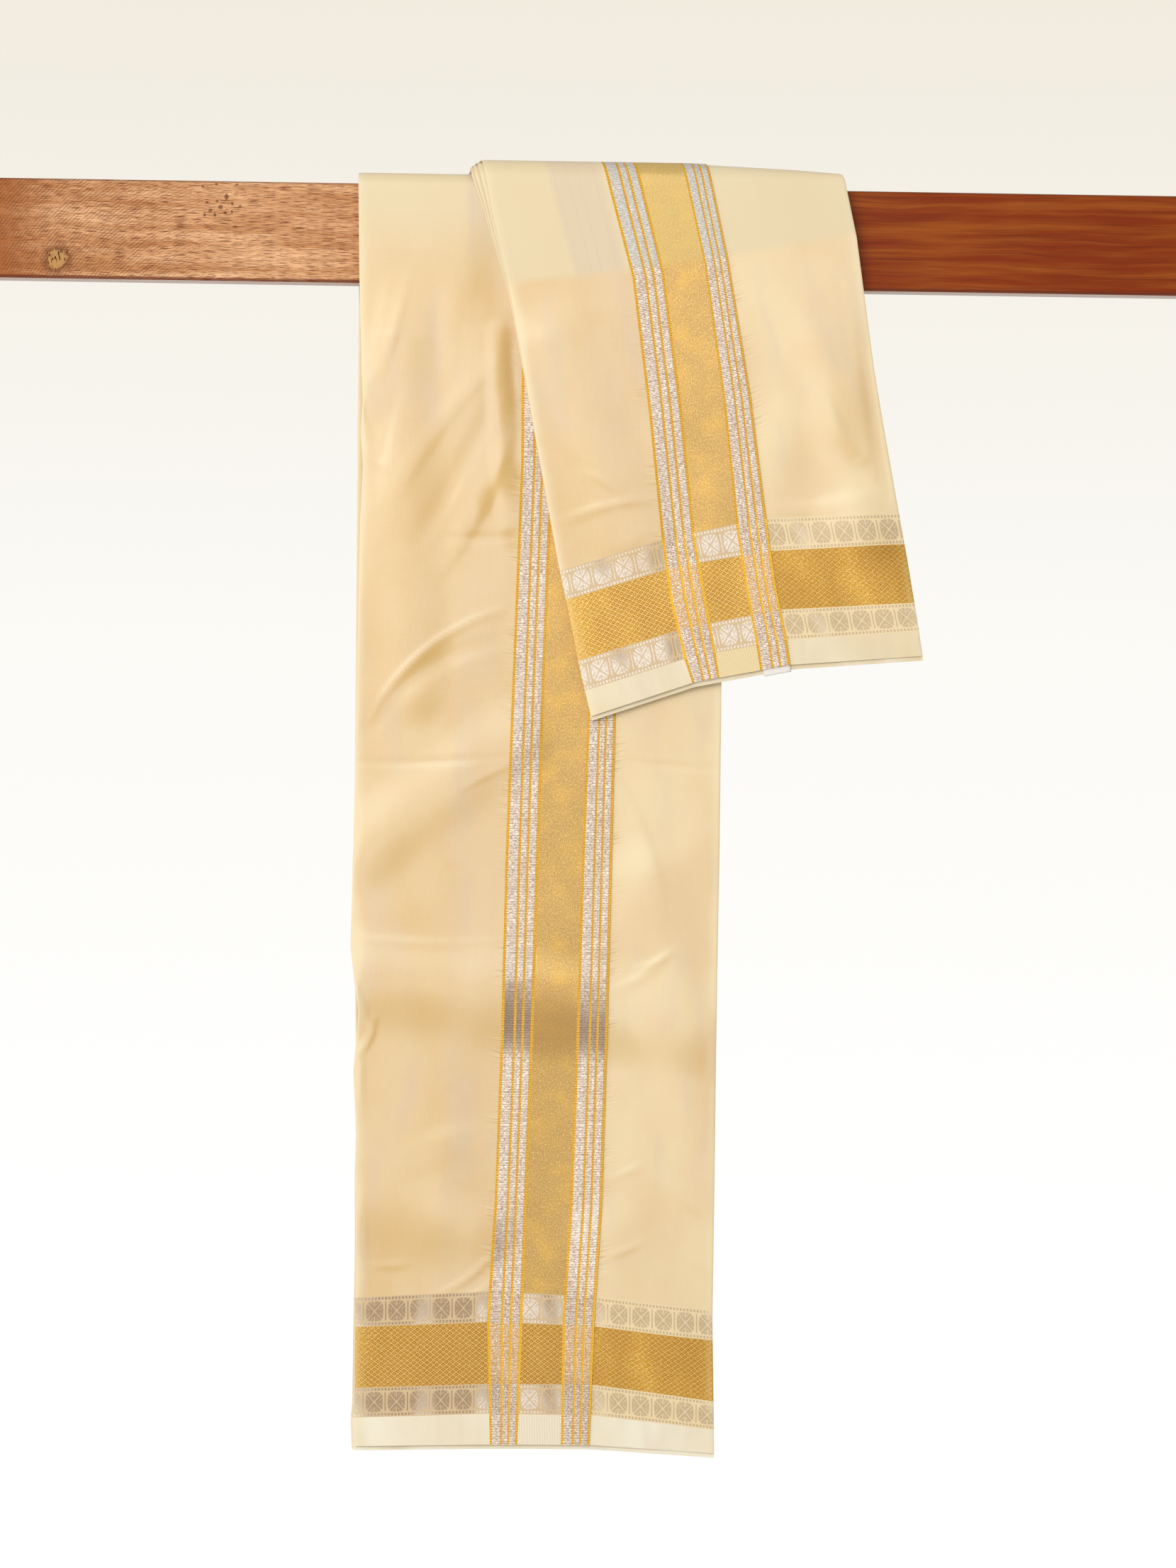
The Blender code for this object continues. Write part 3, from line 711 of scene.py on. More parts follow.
class PieceMaker:
    """Collects blocks of one laid sheet into the pieces that are woven differently."""

    def __init__(self):
        self.places = []
        self.tones = []
        self.shines = []
        self.blocks = {}
        self.count = 0

    def add_sheet(self, points, tone, light=0.0):
        """Keep a sheet's places and give back the number of its first one."""
        start = self.count
        self.places.append(points.reshape(-1, 3))
        self.tones.append(tone.ravel())
        self.shines.append(np.clip(shine_at(points) + light, 0.0, 1.0).ravel())
        self.count += points.shape[0] * points.shape[1]
        return start

    def add_block(self, piece, start, width, rows, columns, map_u, map_v, material=0):
        """Quads between two rows and two columns, with their cloth map."""
        row, column = np.meshgrid(np.arange(*rows), np.arange(*columns), indexing="ij")
        row, column = row.ravel(), column.ravel()
        corners = [(row, column), (row, column + 1), (row + 1, column + 1), (row + 1, column)]
        faces = np.stack([start + r * width + c for r, c in corners], axis=1)
        places = [(r - rows[0], c - columns[0]) for r, c in corners]
        maps = np.stack([np.stack([map_u[at], map_v[at]], -1) for at in places], axis=1)
        self.blocks.setdefault(piece, []).append((faces, maps, np.full(len(faces), material)))

    def build(self, name, materials):
        """Mesh object of one piece's blocks."""
        faces, maps, indices = [np.concatenate(part) for part in zip(*self.blocks[name])]
        used, local = np.unique(faces, return_inverse=True)
        mesh = bpy.data.meshes.new(name)
        places = np.concatenate(self.places)[used]
        mesh.from_pydata(places.tolist(), [], local.reshape(-1, 4).tolist())
        mesh.uv_layers.new(name="cloth").data.foreach_set("uv", maps.astype(float).ravel())
        for attribute, values in (("tone", self.tones), ("shine", self.shines)):
            data = mesh.attributes.new(attribute, "FLOAT", "POINT").data
            data.foreach_set("value", np.concatenate(values)[used])
        for material in materials:
            mesh.materials.append(material)
        mesh.polygons.foreach_set("material_index", indices.astype(int))
        mesh.shade_smooth()
        mesh.update()
        return add_object(name, mesh)


def add_object(name, data):
    """New object of the scene."""
    thing = bpy.data.objects.new(name, data)
    bpy.context.scene.collection.objects.link(thing)
    return thing


def zone_ranges(zones):
    """(zone, first, last) for each stretch of equal zones between lines."""
    starts = [i for i, zone in enumerate(zones) if i == 0 or zone != zones[i - 1]]
    return [(zones[a], a, b) for a, b in zip(starts, [*starts[1:], len(zones)])]


def weave_blocks(maker, grid, columns, sheet, silk_piece):
    """Share one laid sheet out to the pieces: silk, silver bands, gold band, rows."""
    points, across, run = sheet
    cloth = grid.cloth
    beside = {line: across - edge_at(cloth, line, run) for line in Edges._fields[1:-1]}
    light = extra_light(cloth, points, run, beside)
    start = maker.add_sheet(points, tone_at(cloth, points), light)
    row_zones = grid.zones[:-1] + ["body"] * (len(points) - len(grid.zones))
    column_zones = [column.zone for column in columns[:-1]]
    for row_zone, low, high in zone_ranges(row_zones):
        for zone, first, last in zone_ranges(column_zones):
            piece, material, map_u, map_v = silk_piece, FACE, beside["silver"], run
            if zone == "hidden":
                map_u = HIDDEN_MAP + across
            elif zone == "side":
                material, map_u = REVERSE, SIDE_MAP + beside["selvedge"]
            if row_zone == "hem":
                material = STRIPED_HEM if zone == "gold" else HEM
            if zone.startswith("silver"):
                begin, end = [beside[line] for line in ZONES[zone]]
                piece, material = "silver_bands", CROSSINGS.get(row_zone, 0)
                map_u = begin / (begin - end)
            elif zone == "gold" and row_zone == "body":
                piece, material, map_u = "gold_band", 0, beside["gold"]
            elif zone != "hidden" and row_zone in ROW_PIECES:
                piece, height = ROW_PIECES[row_zone]
                material, map_u = int(zone == "side"), beside["left"]
                map_v = rise(np.arange(len(run)), low, high)[:, None] * height + 0 * run
            cut = (slice(low, high + 1), slice(first, last + 1))
            maker.add_block(
                f"{cloth.name}_{piece}", start, points.shape[1], (low, high), (first, last),
                map_u[cut], map_v[cut], material,
            )


def hidden_blocks(maker, grid, sheet, name):
    """A laid sheet of hidden layers, all of it plain silk."""
    points, across, run = sheet
    start = maker.add_sheet(points, tone_at(grid.cloth, points))
    rows, width = points.shape[:2]
    hem = grid.zones.index("lower_silver")
    for low, high, material in ((0, hem, HEM), (hem, rows - 1, REVERSE)):
        cut = slice(low, high + 1)
        maker.add_block(
            name, start, width, (low, high), (0, width - 1), across[cut], run[cut], material
        )


def build_cloth(cloth, settings):
    """All pieces of one cloth: its showing silk, its four woven pieces, the layers under them."""
    maker = PieceMaker()
    fine = ClothGrid(cloth, settings.along_step, settings.along_step * 2)
    columns = showing_columns(cloth, settings.across_step, HIDDEN_STEP)
    weave_blocks(maker, fine, columns, lay_sheet(fine, columns), "silk")
    coarse = ClothGrid(cloth, COARSE_STEP, COARSE_BACK_STEP)
    innermost = layer_depth(cloth, INNERMOST)
    inner = [
        column._replace(
            depth=innermost - column.depth, fine=0.0,
            fan=float(column.first == "left" and column.share < FANNED_SHARE),
        )
        for column in showing_columns(cloth, COARSE_STEP, 2 * COARSE_STEP)
    ]
    weave_blocks(maker, coarse, inner, lay_sheet(coarse, inner, INNERMOST_DROP), "under_layers")
    for depth, layers in (
        (RIGHT_FOLD_DEPTH, OUTER_LAYERS), (innermost - RIGHT_FOLD_DEPTH, INNER_LAYERS),
    ):
        sheet = lay_sheet(coarse, serpentine(cloth, depth, layers), layers.drop)
        hidden_blocks(maker, coarse, sheet, f"{cloth.name}_under_layers")
    finishes = all_finishes(settings)
    built = []
    for part in PIECES:
        materials = [finishes.get(f"{cloth.name}_{key}", finishes[key]) for key in part.finishes]
        piece = maker.build(f"{cloth.name}_{part.name}", materials)
        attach(piece, BODY)
        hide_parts(*[f"{cloth.name}_{solid}" for solid in part.solids])
        built.append(piece)
    return built


class Finish:
    """One procedural finish, built up from short calls on its node tree."""

    def __init__(self, name, roughness, metallic=0.0, gloss=0.5):
        self.material = bpy.data.materials.new(name)
        self.material.use_nodes = True
        self.tree = self.material.node_tree
        self.shader = self.tree.nodes["Principled BSDF"]
        self.shader.inputs["Roughness"].default_value = roughness
        self.shader.inputs["Metallic"].default_value = metallic
        self.shader.inputs["Specular IOR Level"].default_value = gloss

    def feed(self, socket, value):
        """Link a socket to another, or set its plain value."""
        if isinstance(value, bpy.types.NodeSocket):
            self.tree.links.new(value, socket)
        elif value is not None:
            socket.default_value = value

    def node(self, kind, *values, **settings):
        """New node with its own settings, and values for its first sockets."""
        node = self.tree.nodes.new(kind)
        for key, value in settings.items():
            setattr(node, key, value)
        for socket, value in zip(node.inputs, values):
            self.feed(socket, value)
        return node

    def math(self, operation, *values):
        """Result of one sum."""
        return self.node("ShaderNodeMath", *values, operation=operation).outputs[0]

    def joined(self, operation, first, *others):
        """Result of one operation on all values in turn."""
        for other in others:
            first = self.math(operation, first, other)
        return first

    def times(self, *values):
        """Product of all values."""
        return self.joined("MULTIPLY", *values)

    def plus(self, *values):
        """Sum of all values."""
        return self.joined("ADD", *values)

    def most(self, *values):
        """Greatest of all values."""
        return self.joined("MAXIMUM", *values)

    def total(self, *parts):
        """Sum of values, each times its own share."""
        return self.plus(*[self.times(*part) for part in parts])

    def gap(self, first, second=0.0):
        """Distance between two values."""
        return self.math("ABSOLUTE", self.math("SUBTRACT", first, second))

    def length(self, *values):
        """Length of a line with these sides."""
        return self.math("SQRT", self.plus(*[self.math("POWER", value, 2.0) for value in values]))

    def between(self, value, low, high):
        """0 at low and 1 at high, eased and held outside them."""
        kind = "ShaderNodeMapRange"
        return self.node(
            kind, value, low, high, 0.0, 1.0, interpolation_type="SMOOTHSTEP"
        ).outputs[0]

    def line(self, value, centre, half_width, blur):
        """1 on a line of a coordinate, 0 off it."""
        return self.between(self.gap(value, centre), half_width + blur, half_width - blur)

    def mix(self, share, low, high):
        """Colour between two."""
        node = self.node("ShaderNodeMix", share, data_type="RGBA")
        for socket, colour in ((node.inputs[6], low), (node.inputs[7], high)):
            plain = not isinstance(colour, bpy.types.NodeSocket)
            self.feed(socket, (*colour, 1.0) if plain else colour)
        return node.outputs[2]

    def tint(self, colour, other, value, low, high, share=1.0):
        """A colour with another laid over it, up to a share, as a value goes from low to high."""
        return self.mix(self.times(self.between(value, low, high), share), colour, other)

    def split(self, vector):
        """The three numbers of a vector of places, in millimetres."""
        parts = self.node("ShaderNodeSeparateXYZ", vector).outputs
        return [self.times(part, 1 / MM) for part in parts]

    def cloth_map(self):
        """Across and along the cloth, in millimetres."""
        return self.split(self.node("ShaderNodeUVMap", uv_map="cloth").outputs[0])[:2]

    def noise(self, x, y, z, detail=2.0, roughness=0.5):
        """Noise from 0 to 1 about a half, at a place."""
        place = self.node("ShaderNodeCombineXYZ", x, y, z).outputs[0]
        node = self.node("ShaderNodeTexNoise")
        self.feed(node.inputs["Vector"], place)
        for name, value in (("Scale", 1.0), ("Detail", detail), ("Roughness", roughness)):
            node.inputs[name].default_value = value
        return node.outputs["Fac"]

    def threads(self, across, along, across_size, along_size, detail=2.0, shift=0.0):
        """Noise stretched to threads of a given size in millimetres."""
        wide = self.math("DIVIDE", self.plus(across, shift), across_size)
        return self.noise(wide, self.math("DIVIDE", along, along_size), 0.0, detail)

    def wave(self, value, pitch):
        """Ribs of a pitch, from 0 to 1."""
        turned = self.times(value, 2 * math.pi / pitch)
        return self.math("MULTIPLY_ADD", self.math("COSINE", turned), 0.5, 0.5)

    def kept(self, name):
        """A value kept with the cloth's places: its tone on the bar, for the painted tone there, or
        its shine, for the painted highlight and shade.
        """
        return self.node("ShaderNodeAttribute", attribute_name=name).outputs["Fac"]

    def lit(self, colour, light, hollow, strength=1.0):
        """Painted highlight where the folds face the light, and painted shade in the hollows, from
        the kept shine.
        """
        shine = self.kept("shine")
        colour = self.tint(colour, light, shine, 0.5, 1.0, 0.6 * strength)
        return self.tint(colour, hollow, shine, 0.46, 0.0, 0.85 * strength)

    def bump(self, height, distance, strength=1.0, normal=None):
        """Relief of a height in millimetres; a second one takes the first one's result."""
        node = self.node("ShaderNodeBump")
        for name, value in (
            ("Strength", strength), ("Distance", distance * MM), ("Height", height),
            ("Normal", normal),
        ):
            self.feed(node.inputs[name], value)
        return node.outputs[0]

    def sheen(self, weight):
        """A soft warm sheen at grazing angles."""
        for name, value in (
            ("Sheen Weight", weight), ("Sheen Roughness", SHEEN_ROUGHNESS),
            ("Sheen Tint", SHEEN_TINT),
        ):
            self.shader.inputs[name].default_value = value

    def finish(self, colour, normal=None, roughness=None, metallic=None):
        """Plug the colour and the relief into the shader."""
        for name, value in (
            ("Base Color", colour), ("Normal", normal), ("Roughness", roughness),
            ("Metallic", metallic),
        ):
            self.feed(self.shader.inputs[name], value)
        return self.material


def silk_finish(name, settings, face, shade, gathered=1.0):
    """Shot silk: fine twill, slow drift of colour, puckers beside the strip, painted highlight and
    shade of the folds.
    """
    finish = Finish(name, settings.silk_roughness, gloss=0.4)
    light, hollow, lilac = settings.silk_light, settings.silk_hollow_shade, settings.silk_painted_lilac
    across, along = finish.cloth_map()
    slow = finish.threads(across, along, 70, 120)
    cast = finish.threads(across, along, 34, 130, shift=431.0)
    fibre = finish.threads(across, along, 0.6, 16)
    weft = finish.threads(across, along, 18, 0.7)
    twill = finish.wave(finish.plus(across, along), settings.twill_pitch / MM)
    streaks = finish.total((fibre, 0.4), (weft, 0.25), (twill, 0.3))
    colour = finish.tint(face, shade, slow, 0.3, 0.7)
    # Painted satin reflection: lilac-grey patches at random
    colour = finish.tint(colour, lilac, cast, 0.5, 0.75, 0.4)
    colour = finish.tint(colour, light, streaks, 0.3, 0.75, 0.36)
    # Painted highlight and shade of the folds
    colour = finish.lit(colour, light, hollow, 1.05)
    # Painted paler tone over the bar, where no light comes through from behind
    tone = finish.kept("tone")
    colour = finish.mix(finish.times(tone, 0.75), colour, settings.on_bar_painted_tone)
    beside = finish.math("MINIMUM", finish.gap(across), finish.gap(across, SIDE_MAP / MM))
    near = finish.between(beside, PUCKER_REACH, 0.0)
    slant = finish.plus(along, finish.times(beside, PUCKER_SLANT))
    patches = finish.between(finish.threads(across, along, 300, 45, 1.0), 0.42, 0.62)
    held = finish.times(near, patches, finish.math("SUBTRACT", 1.0, tone), gathered)
    sunk = finish.threads(across, slant, PUCKER_LENGTH, 2.6, 1.0, 77.0)
    puckers = finish.times(finish.between(sunk, 0.46, 0.72), held)
    raised = finish.threads(across, slant, PUCKER_LENGTH, 2.4, 1.0, 19.0)
    # Painted shade in the puckers' hollows and painted highlight on their ridges
    colour = finish.mix(finish.times(puckers, 0.2), colour, hollow)
    raised = finish.times(finish.between(raised, 0.5, 0.72), held, 0.35)
    colour = finish.mix(raised, colour, light)
    ghost = finish.line(across, GHOST_MIDDLE, GHOST_HALF, GHOST_BLUR)
    for line in GHOST_LINES:
        ghost = finish.plus(ghost, finish.times(finish.line(across, line, 0.7, 0.5), 0.5))
    ghost = finish.times(ghost, finish.math("MULTIPLY_ADD", tone, 0.3, 0.1))
    colour = finish.mix(ghost, colour, lilac)
    normal = finish.bump(finish.times(puckers, -1.0), 0.6)
    normal = finish.bump(finish.total((twill, 0.05), (streaks, 0.08)), 0.4, 0.6, normal)
    finish.sheen(settings.silk_sheen)
    return finish.finish(colour, normal)


def striped_hem_finish(name, settings, ground):
    """The hem between the two silver bands: cream with fine lengthwise stripes."""
    finish = Finish(name, settings.silk_roughness)
    across, along = finish.cloth_map()
    stripes = finish.wave(across, HEM_STRIPE_PITCH)
    slubs = finish.threads(across, along, 0.7, 5.0)
    share = finish.times(finish.plus(stripes, slubs), 0.3)
    finish.shader.inputs["Sheen Weight"].default_value = settings.silk_sheen
    return finish.finish(
        finish.mix(share, ground, settings.hem_stripe), finish.bump(stripes, 0.12)
    )


def silver_finish(name, settings, gold_share, spot_share, rib_share=0.8):
    """Silver thread in ribs across the band, with its beaded gold lines."""
    finish = Finish(name, 0.36, 0.35)
    share, along = finish.cloth_map()
    across = finish.times(share, BAND_WIDTH * MM)
    pitch = settings.rib_pitch / MM
    wander = finish.threads(across, along, 3.5, 6.0, 1.0)
    ribs = finish.wave(finish.plus(along, finish.times(wander, 0.6)), pitch)
    stitches = finish.threads(across, along, 0.9, 0.75, 1.0)
    thread = finish.total((ribs, rib_share), (stitches, 1.35 - rib_share))
    glint = finish.threads(across, along, 2.4, 1.6, shift=91.0)
    slow = finish.threads(across, along, 8.0, 22.0)
    dark, silver = settings.silver_shade, settings.silver_colour
    colour = finish.tint(dark, silver, thread, 0.5, 0.82)
    colour = finish.tint(colour, dark, glint, 0.48, 0.34, 0.8)
    colour = finish.tint(colour, silver, glint, 0.52, 0.66)
    colour = finish.tint(colour, dark, slow, 0.45, 0.7, 0.25)
    if spot_share:
        spots = finish.threads(across, along, 1.3, 1.1)
        colour = finish.tint(colour, settings.motif_pink, spots, 0.5, 0.58, spot_share)
    if gold_share:
        spots = finish.threads(across, along, 1.1, 1.6, shift=57.0)
        colour = finish.tint(colour, settings.lattice_bright, spots, 0.46, 0.56, gold_share)
    # Painted highlight and shade of the folds
    colour = finish.lit(colour, silver, settings.silver_hollow_shade, 1.15)
    # Painted cooler tone over the bar, where no light comes through from behind
    colour = finish.mix(finish.times(finish.kept("tone"), 0.5), colour, settings.silver_painted_on_bar)
    bead = finish.wave(along, 2 * pitch)
    swayed = finish.plus(across, finish.times(bead, 0.5), -0.25)
    lines = finish.most(
        *[finish.line(swayed, place * BAND_WIDTH, half, 0.3) for place, half in BAND_LINES]
    )
    gold = finish.tint(settings.gold_shade, settings.gold_line, thread, 0.32, 0.8)
    height = finish.total((thread, 1.0), (lines, 0.4))
    return finish.finish(finish.mix(lines, colour, gold), finish.bump(height, 0.4, 0.8))


def gold_band_finish(name, settings):
    """Gold tissue: fine lengthwise thread with soft bands across of painted shine, and painted
    glints.
    """
    finish = Finish(name, 0.42, 0.3)
    pale, dark = settings.gold_pale, settings.tissue_shade
    across, along = finish.cloth_map()
    grain = finish.threads(across, along, 0.4, 3.2)
    sparkle = finish.threads(across, along, 0.55, 0.7, 1.0)
    bands = finish.threads(across, along, 24.0, 22.0, 1.0)
    glint = finish.threads(across, along, 1.2, 1.7, shift=13.0)
    cords = finish.wave(across, TISSUE_CORD)
    # Painted shine: brighter gold in soft random bands across
    colour = finish.tint(settings.tissue_colour, settings.tissue_bright, bands, 0.38, 0.8)
    lines = finish.total((finish.between(grain, 0.4, 0.66), 0.5), (cords, 0.22))
    colour = finish.mix(lines, colour, dark)
    colour = finish.tint(colour, pale, finish.plus(sparkle, glint), 1.02, 1.26, 0.8)
    # Painted highlight and shade of the folds
    colour = finish.lit(colour, pale, dark, 0.8)
    # Painted cooler tone over the bar, where no light comes through from behind
    colour = finish.mix(finish.times(finish.kept("tone"), 0.55), colour, settings.gold_painted_on_bar)
    height = finish.total((grain, 0.6), (sparkle, 0.4))
    return finish.finish(colour, finish.bump(height, 0.3, 0.8))


def motif_finish(name, settings, ground, strength, brightness=0.0):
    """Woven row: rounded medallions with a stepped cross, bars between them, dots at both sides."""
    finish = Finish(name, 0.42)
    across, along = finish.cloth_map()
    pitch = settings.motif_pitch / MM
    turns = finish.math("MODULO", finish.plus(across, 100 * pitch - MOTIF_START), pitch)
    cell = finish.gap(turns, pitch / 2)
    up = finish.gap(along, MOTIF_HEIGHT / MM / 2)
    wide, tall = [
        finish.math("DIVIDE", finish.math("SNAP", value, MOTIF_STITCH), half)
        for value, half in zip((cell, up), MEDALLION_HALF)
    ]
    corner = finish.plus(*[finish.math("POWER", side, MEDALLION_POWER) for side in (wide, tall)])
    medallion = finish.between(corner, 1.15, 0.85)
    lean = finish.math("SUBTRACT", wide, tall)
    cross = finish.line(lean, 0.0, 0.085, 0.035)
    petal = finish.line(finish.gap(lean), 0.5, 0.045, 0.03)
    petal = finish.times(petal, finish.between(finish.plus(wide, tall), 0.55, 0.75))
    slit = finish.times(finish.line(cell, 0.0, 0.45, 0.2), finish.between(up, 4.2, 5.0))
    light = finish.most(cross, petal, slit)
    figure = finish.times(medallion, finish.math("SUBTRACT", 1.0, light))
    bar = finish.times(
        finish.line(cell, pitch / 2, MOTIF_BAR[0], 0.2),
        finish.between(up, MOTIF_BAR[1] + 0.3, MOTIF_BAR[1]),
    )
    dot = finish.times(
        finish.line(finish.math("PINGPONG", across, DOT_PITCH), 0.0, DOT_HALF[0], 0.2),
        finish.line(up, DOT_UP, DOT_HALF[1], 0.2),
    )
    weft = finish.times(finish.wave(along, 0.9), finish.wave(across, DOT_PITCH))
    weft = finish.math("MULTIPLY_ADD", weft, 0.35, 0.75)
    thread = finish.times(finish.most(figure, bar, dot), strength, weft)
    stitches = finish.threads(across, along, 0.9, 0.55)
    # Painted reflection: the thread is painted pinkish white in slow random patches and near both
    # ends of the row, more so by the brightness given, and dull and browner elsewhere
    drift = finish.threads(across, along, 38, 90, 1.0)
    ends = finish.most(finish.between(across, 40.0, 14.0), finish.between(across, 96.0, 112.0))
    drift = finish.plus(drift, finish.times(ends, 0.2), brightness)
    dull = finish.tint(settings.motif_dull, settings.motif_deep, stitches, 0.35, 0.7)
    bright = finish.tint(settings.silver_colour, settings.motif_pink, stitches, 0.5, 0.34)
    colour = finish.mix(thread, ground, finish.tint(dull, bright, drift, 0.54, 0.72))
    # Painted highlight and shade of the folds
    colour = finish.lit(colour, settings.silk_light, settings.silk_hollow_shade, 0.5)
    normal = finish.bump(finish.times(thread, stitches), 0.4, 0.8)
    return finish.finish(colour, normal, metallic=finish.times(thread, 0.3))


def lattice_finish(name, settings, strength, dim=0.0):
    """Gold lattice: pale lines in diamonds with a bright dot in each."""
    finish = Finish(name, 0.4, 0.3)
    line_colour, deep = settings.lattice_line, settings.lattice_deep
    across, along = finish.cloth_map()
    u = finish.math("DIVIDE", across, settings.lattice_width / MM)
    v = finish.math("DIVIDE", along, settings.lattice_height / MM)
    nearest = finish.math(
        "MINIMUM",
        *[finish.math("PINGPONG", finish.plus(finish.math(kind, u, v), 40.0), 0.5)
          for kind in ("ADD", "SUBTRACT")],
    )
    lines = finish.between(nearest, 0.11, 0.05)
    dots = finish.between(nearest, 0.37, 0.46)
    stitches = finish.threads(across, along, 0.8, 0.6, 1.0)
    # Painted light: the gold ground is brighter in slow random patches and near the left fold,
    # dimmed towards its shadow colour by dim, with painted glints as glitter
    slow = finish.threads(across, along, 30, 60, 1.0)
    slow = finish.plus(slow, finish.times(finish.between(across, 30.0, 8.0), 0.3))
    bright = finish.between(slow, 0.38 + dim, 0.85 + dim)
    colour = finish.mix(bright, settings.lattice_ground, settings.lattice_bright)
    colour = finish.tint(colour, deep, stitches, 0.55, 0.35, 0.8)
    colour = finish.mix(finish.times(finish.most(lines, dots), 0.9 * strength), colour, line_colour)
    glint = finish.threads(across, along, 2.2, 1.8, 1.0, 31.0)
    glitter = finish.times(
        finish.between(finish.plus(stitches, glint), 1.06, 1.24),
        finish.math("MULTIPLY_ADD", bright, 0.7, 0.3),
    )
    colour = finish.mix(glitter, finish.mix(dim, colour, deep), settings.lattice_spark)
    # Painted highlight and shade of the folds
    colour = finish.lit(colour, line_colour, deep, 0.6)
    height = finish.total((lines, -0.5), (stitches, 1.0))
    return finish.finish(colour, finish.bump(height, 0.4, 0.8))


def wood_finish(settings):
    """Planed hardwood: sawn and paler at the left, smooth and dark red at the right, with knots."""
    finish = Finish("bar_wood", 0.45, gloss=0.15)
    x, y, z = finish.split(finish.node("ShaderNodeTexCoord").outputs["Object"])

    def lumps(x_scale, z_scale, detail=2.0):
        return finish.noise(finish.times(x, x_scale), 0.0, finish.times(z, z_scale), detail)

    depth = finish.plus(z, y, finish.times(lumps(0.012, 0.02, 1.0), 7.0))

    def grain(length, height):
        wide, tall = finish.math("DIVIDE", x, length), finish.math("DIVIDE", depth, height)
        return finish.noise(wide, 0.0, tall, 3.0, 0.6)

    fine, lines, dashes, broad = [grain(*size) for size in GRAINS]
    left = finish.between(x, *SAWN_FADE)
    deep, line = settings.wood_deep, settings.wood_line
    right_colour = finish.tint(settings.wood_dark, settings.wood_mid, broad, 0.35, 0.7)
    right_colour = finish.tint(right_colour, deep, lines, 0.5, 0.72, 0.55)
    both = finish.total((broad, 0.5), (dashes, 0.5))
    left_colour = finish.tint(settings.wood_light, settings.wood_pale, both, 0.38, 0.66)
    left_colour = finish.tint(left_colour, line, dashes, 0.56, 0.68, 0.7)
    left_colour = finish.tint(left_colour, line, fine, 0.5, 0.6, 0.95)
    left_colour = finish.tint(left_colour, settings.wood_end, x, *END_FADE, 0.9)
    colour = finish.mix(left, right_colour, left_colour)
    uneven = lumps(0.11, 0.11)
    away = finish.length(finish.gap(x, SAW_MIDDLE[0]), finish.gap(z, SAW_MIDDLE[1]))
    saw = finish.wave(finish.plus(away, finish.times(uneven, 1.6)), SAW_PITCH)
    saw = finish.times(
        finish.between(saw, 0.6, 1.0), finish.between(x, *SAW_FADE),
        finish.between(uneven, 0.3, 0.6),
    )
    colour = finish.mix(finish.times(saw, 0.5), colour, line)
    rough = finish.times(lumps(0.5, 0.5), 0.9)

    def knot(middle_x, middle_z, half_wide, half_tall):
        wide = finish.math("DIVIDE", finish.gap(x, middle_x), half_wide)
        tall = finish.math("DIVIDE", finish.gap(z, middle_z), half_tall)
        return finish.plus(finish.length(wide, tall), rough)

    spots = finish.most(*[finish.between(knot(*row), 1.5, 1.2) for row in KNOTS])
    colour = finish.mix(finish.times(spots, 0.7), colour, deep)
    ring = finish.plus(knot(*PALE_KNOT), finish.times(uneven, 1.6), -0.75)
    colour = finish.tint(colour, deep, ring, 2.1, 1.2, 0.6)
    colour = finish.tint(colour, settings.knot_ochre, ring, 1.35, 1.05)
    cracks = finish.between(lumps(0.5, 0.175), 0.55, 0.62)
    colour = finish.mix(finish.times(cracks, finish.between(ring, 1.6, 1.2)), colour, deep)
    low = finish.plus(z, finish.times(uneven, 2.0))
    colour = finish.tint(colour, settings.wood_edge, low, *LOWER_EDGE, 0.85)
    colour = finish.tint(colour, line, z, *UPPER_EDGE, 0.5)
    # Painted light: the underside is painted pale, as lit by the bright surroundings below
    colour = finish.tint(colour, settings.wood_underside_light, z, *UNDERSIDE, 0.9)
    height = finish.plus(finish.times(fine, left, 0.7), finish.total((lines, 0.3), (saw, -0.7)))
    normal = finish.bump(height, 0.5, 0.8)
    return finish.finish(colour, normal, finish.math("MULTIPLY_ADD", left, 0.2, 0.38))


def label_finish(settings):
    """Plain satin tape of the care label."""
    finish = Finish("label_satin", 0.55)
    thread = finish.threads(*finish.cloth_map(), 6, 0.35)
    colour = finish.mix(finish.times(thread, 0.2), settings.label_colour, settings.silver_shade)
    return finish.finish(colour, finish.bump(thread, 0.2, 0.6))


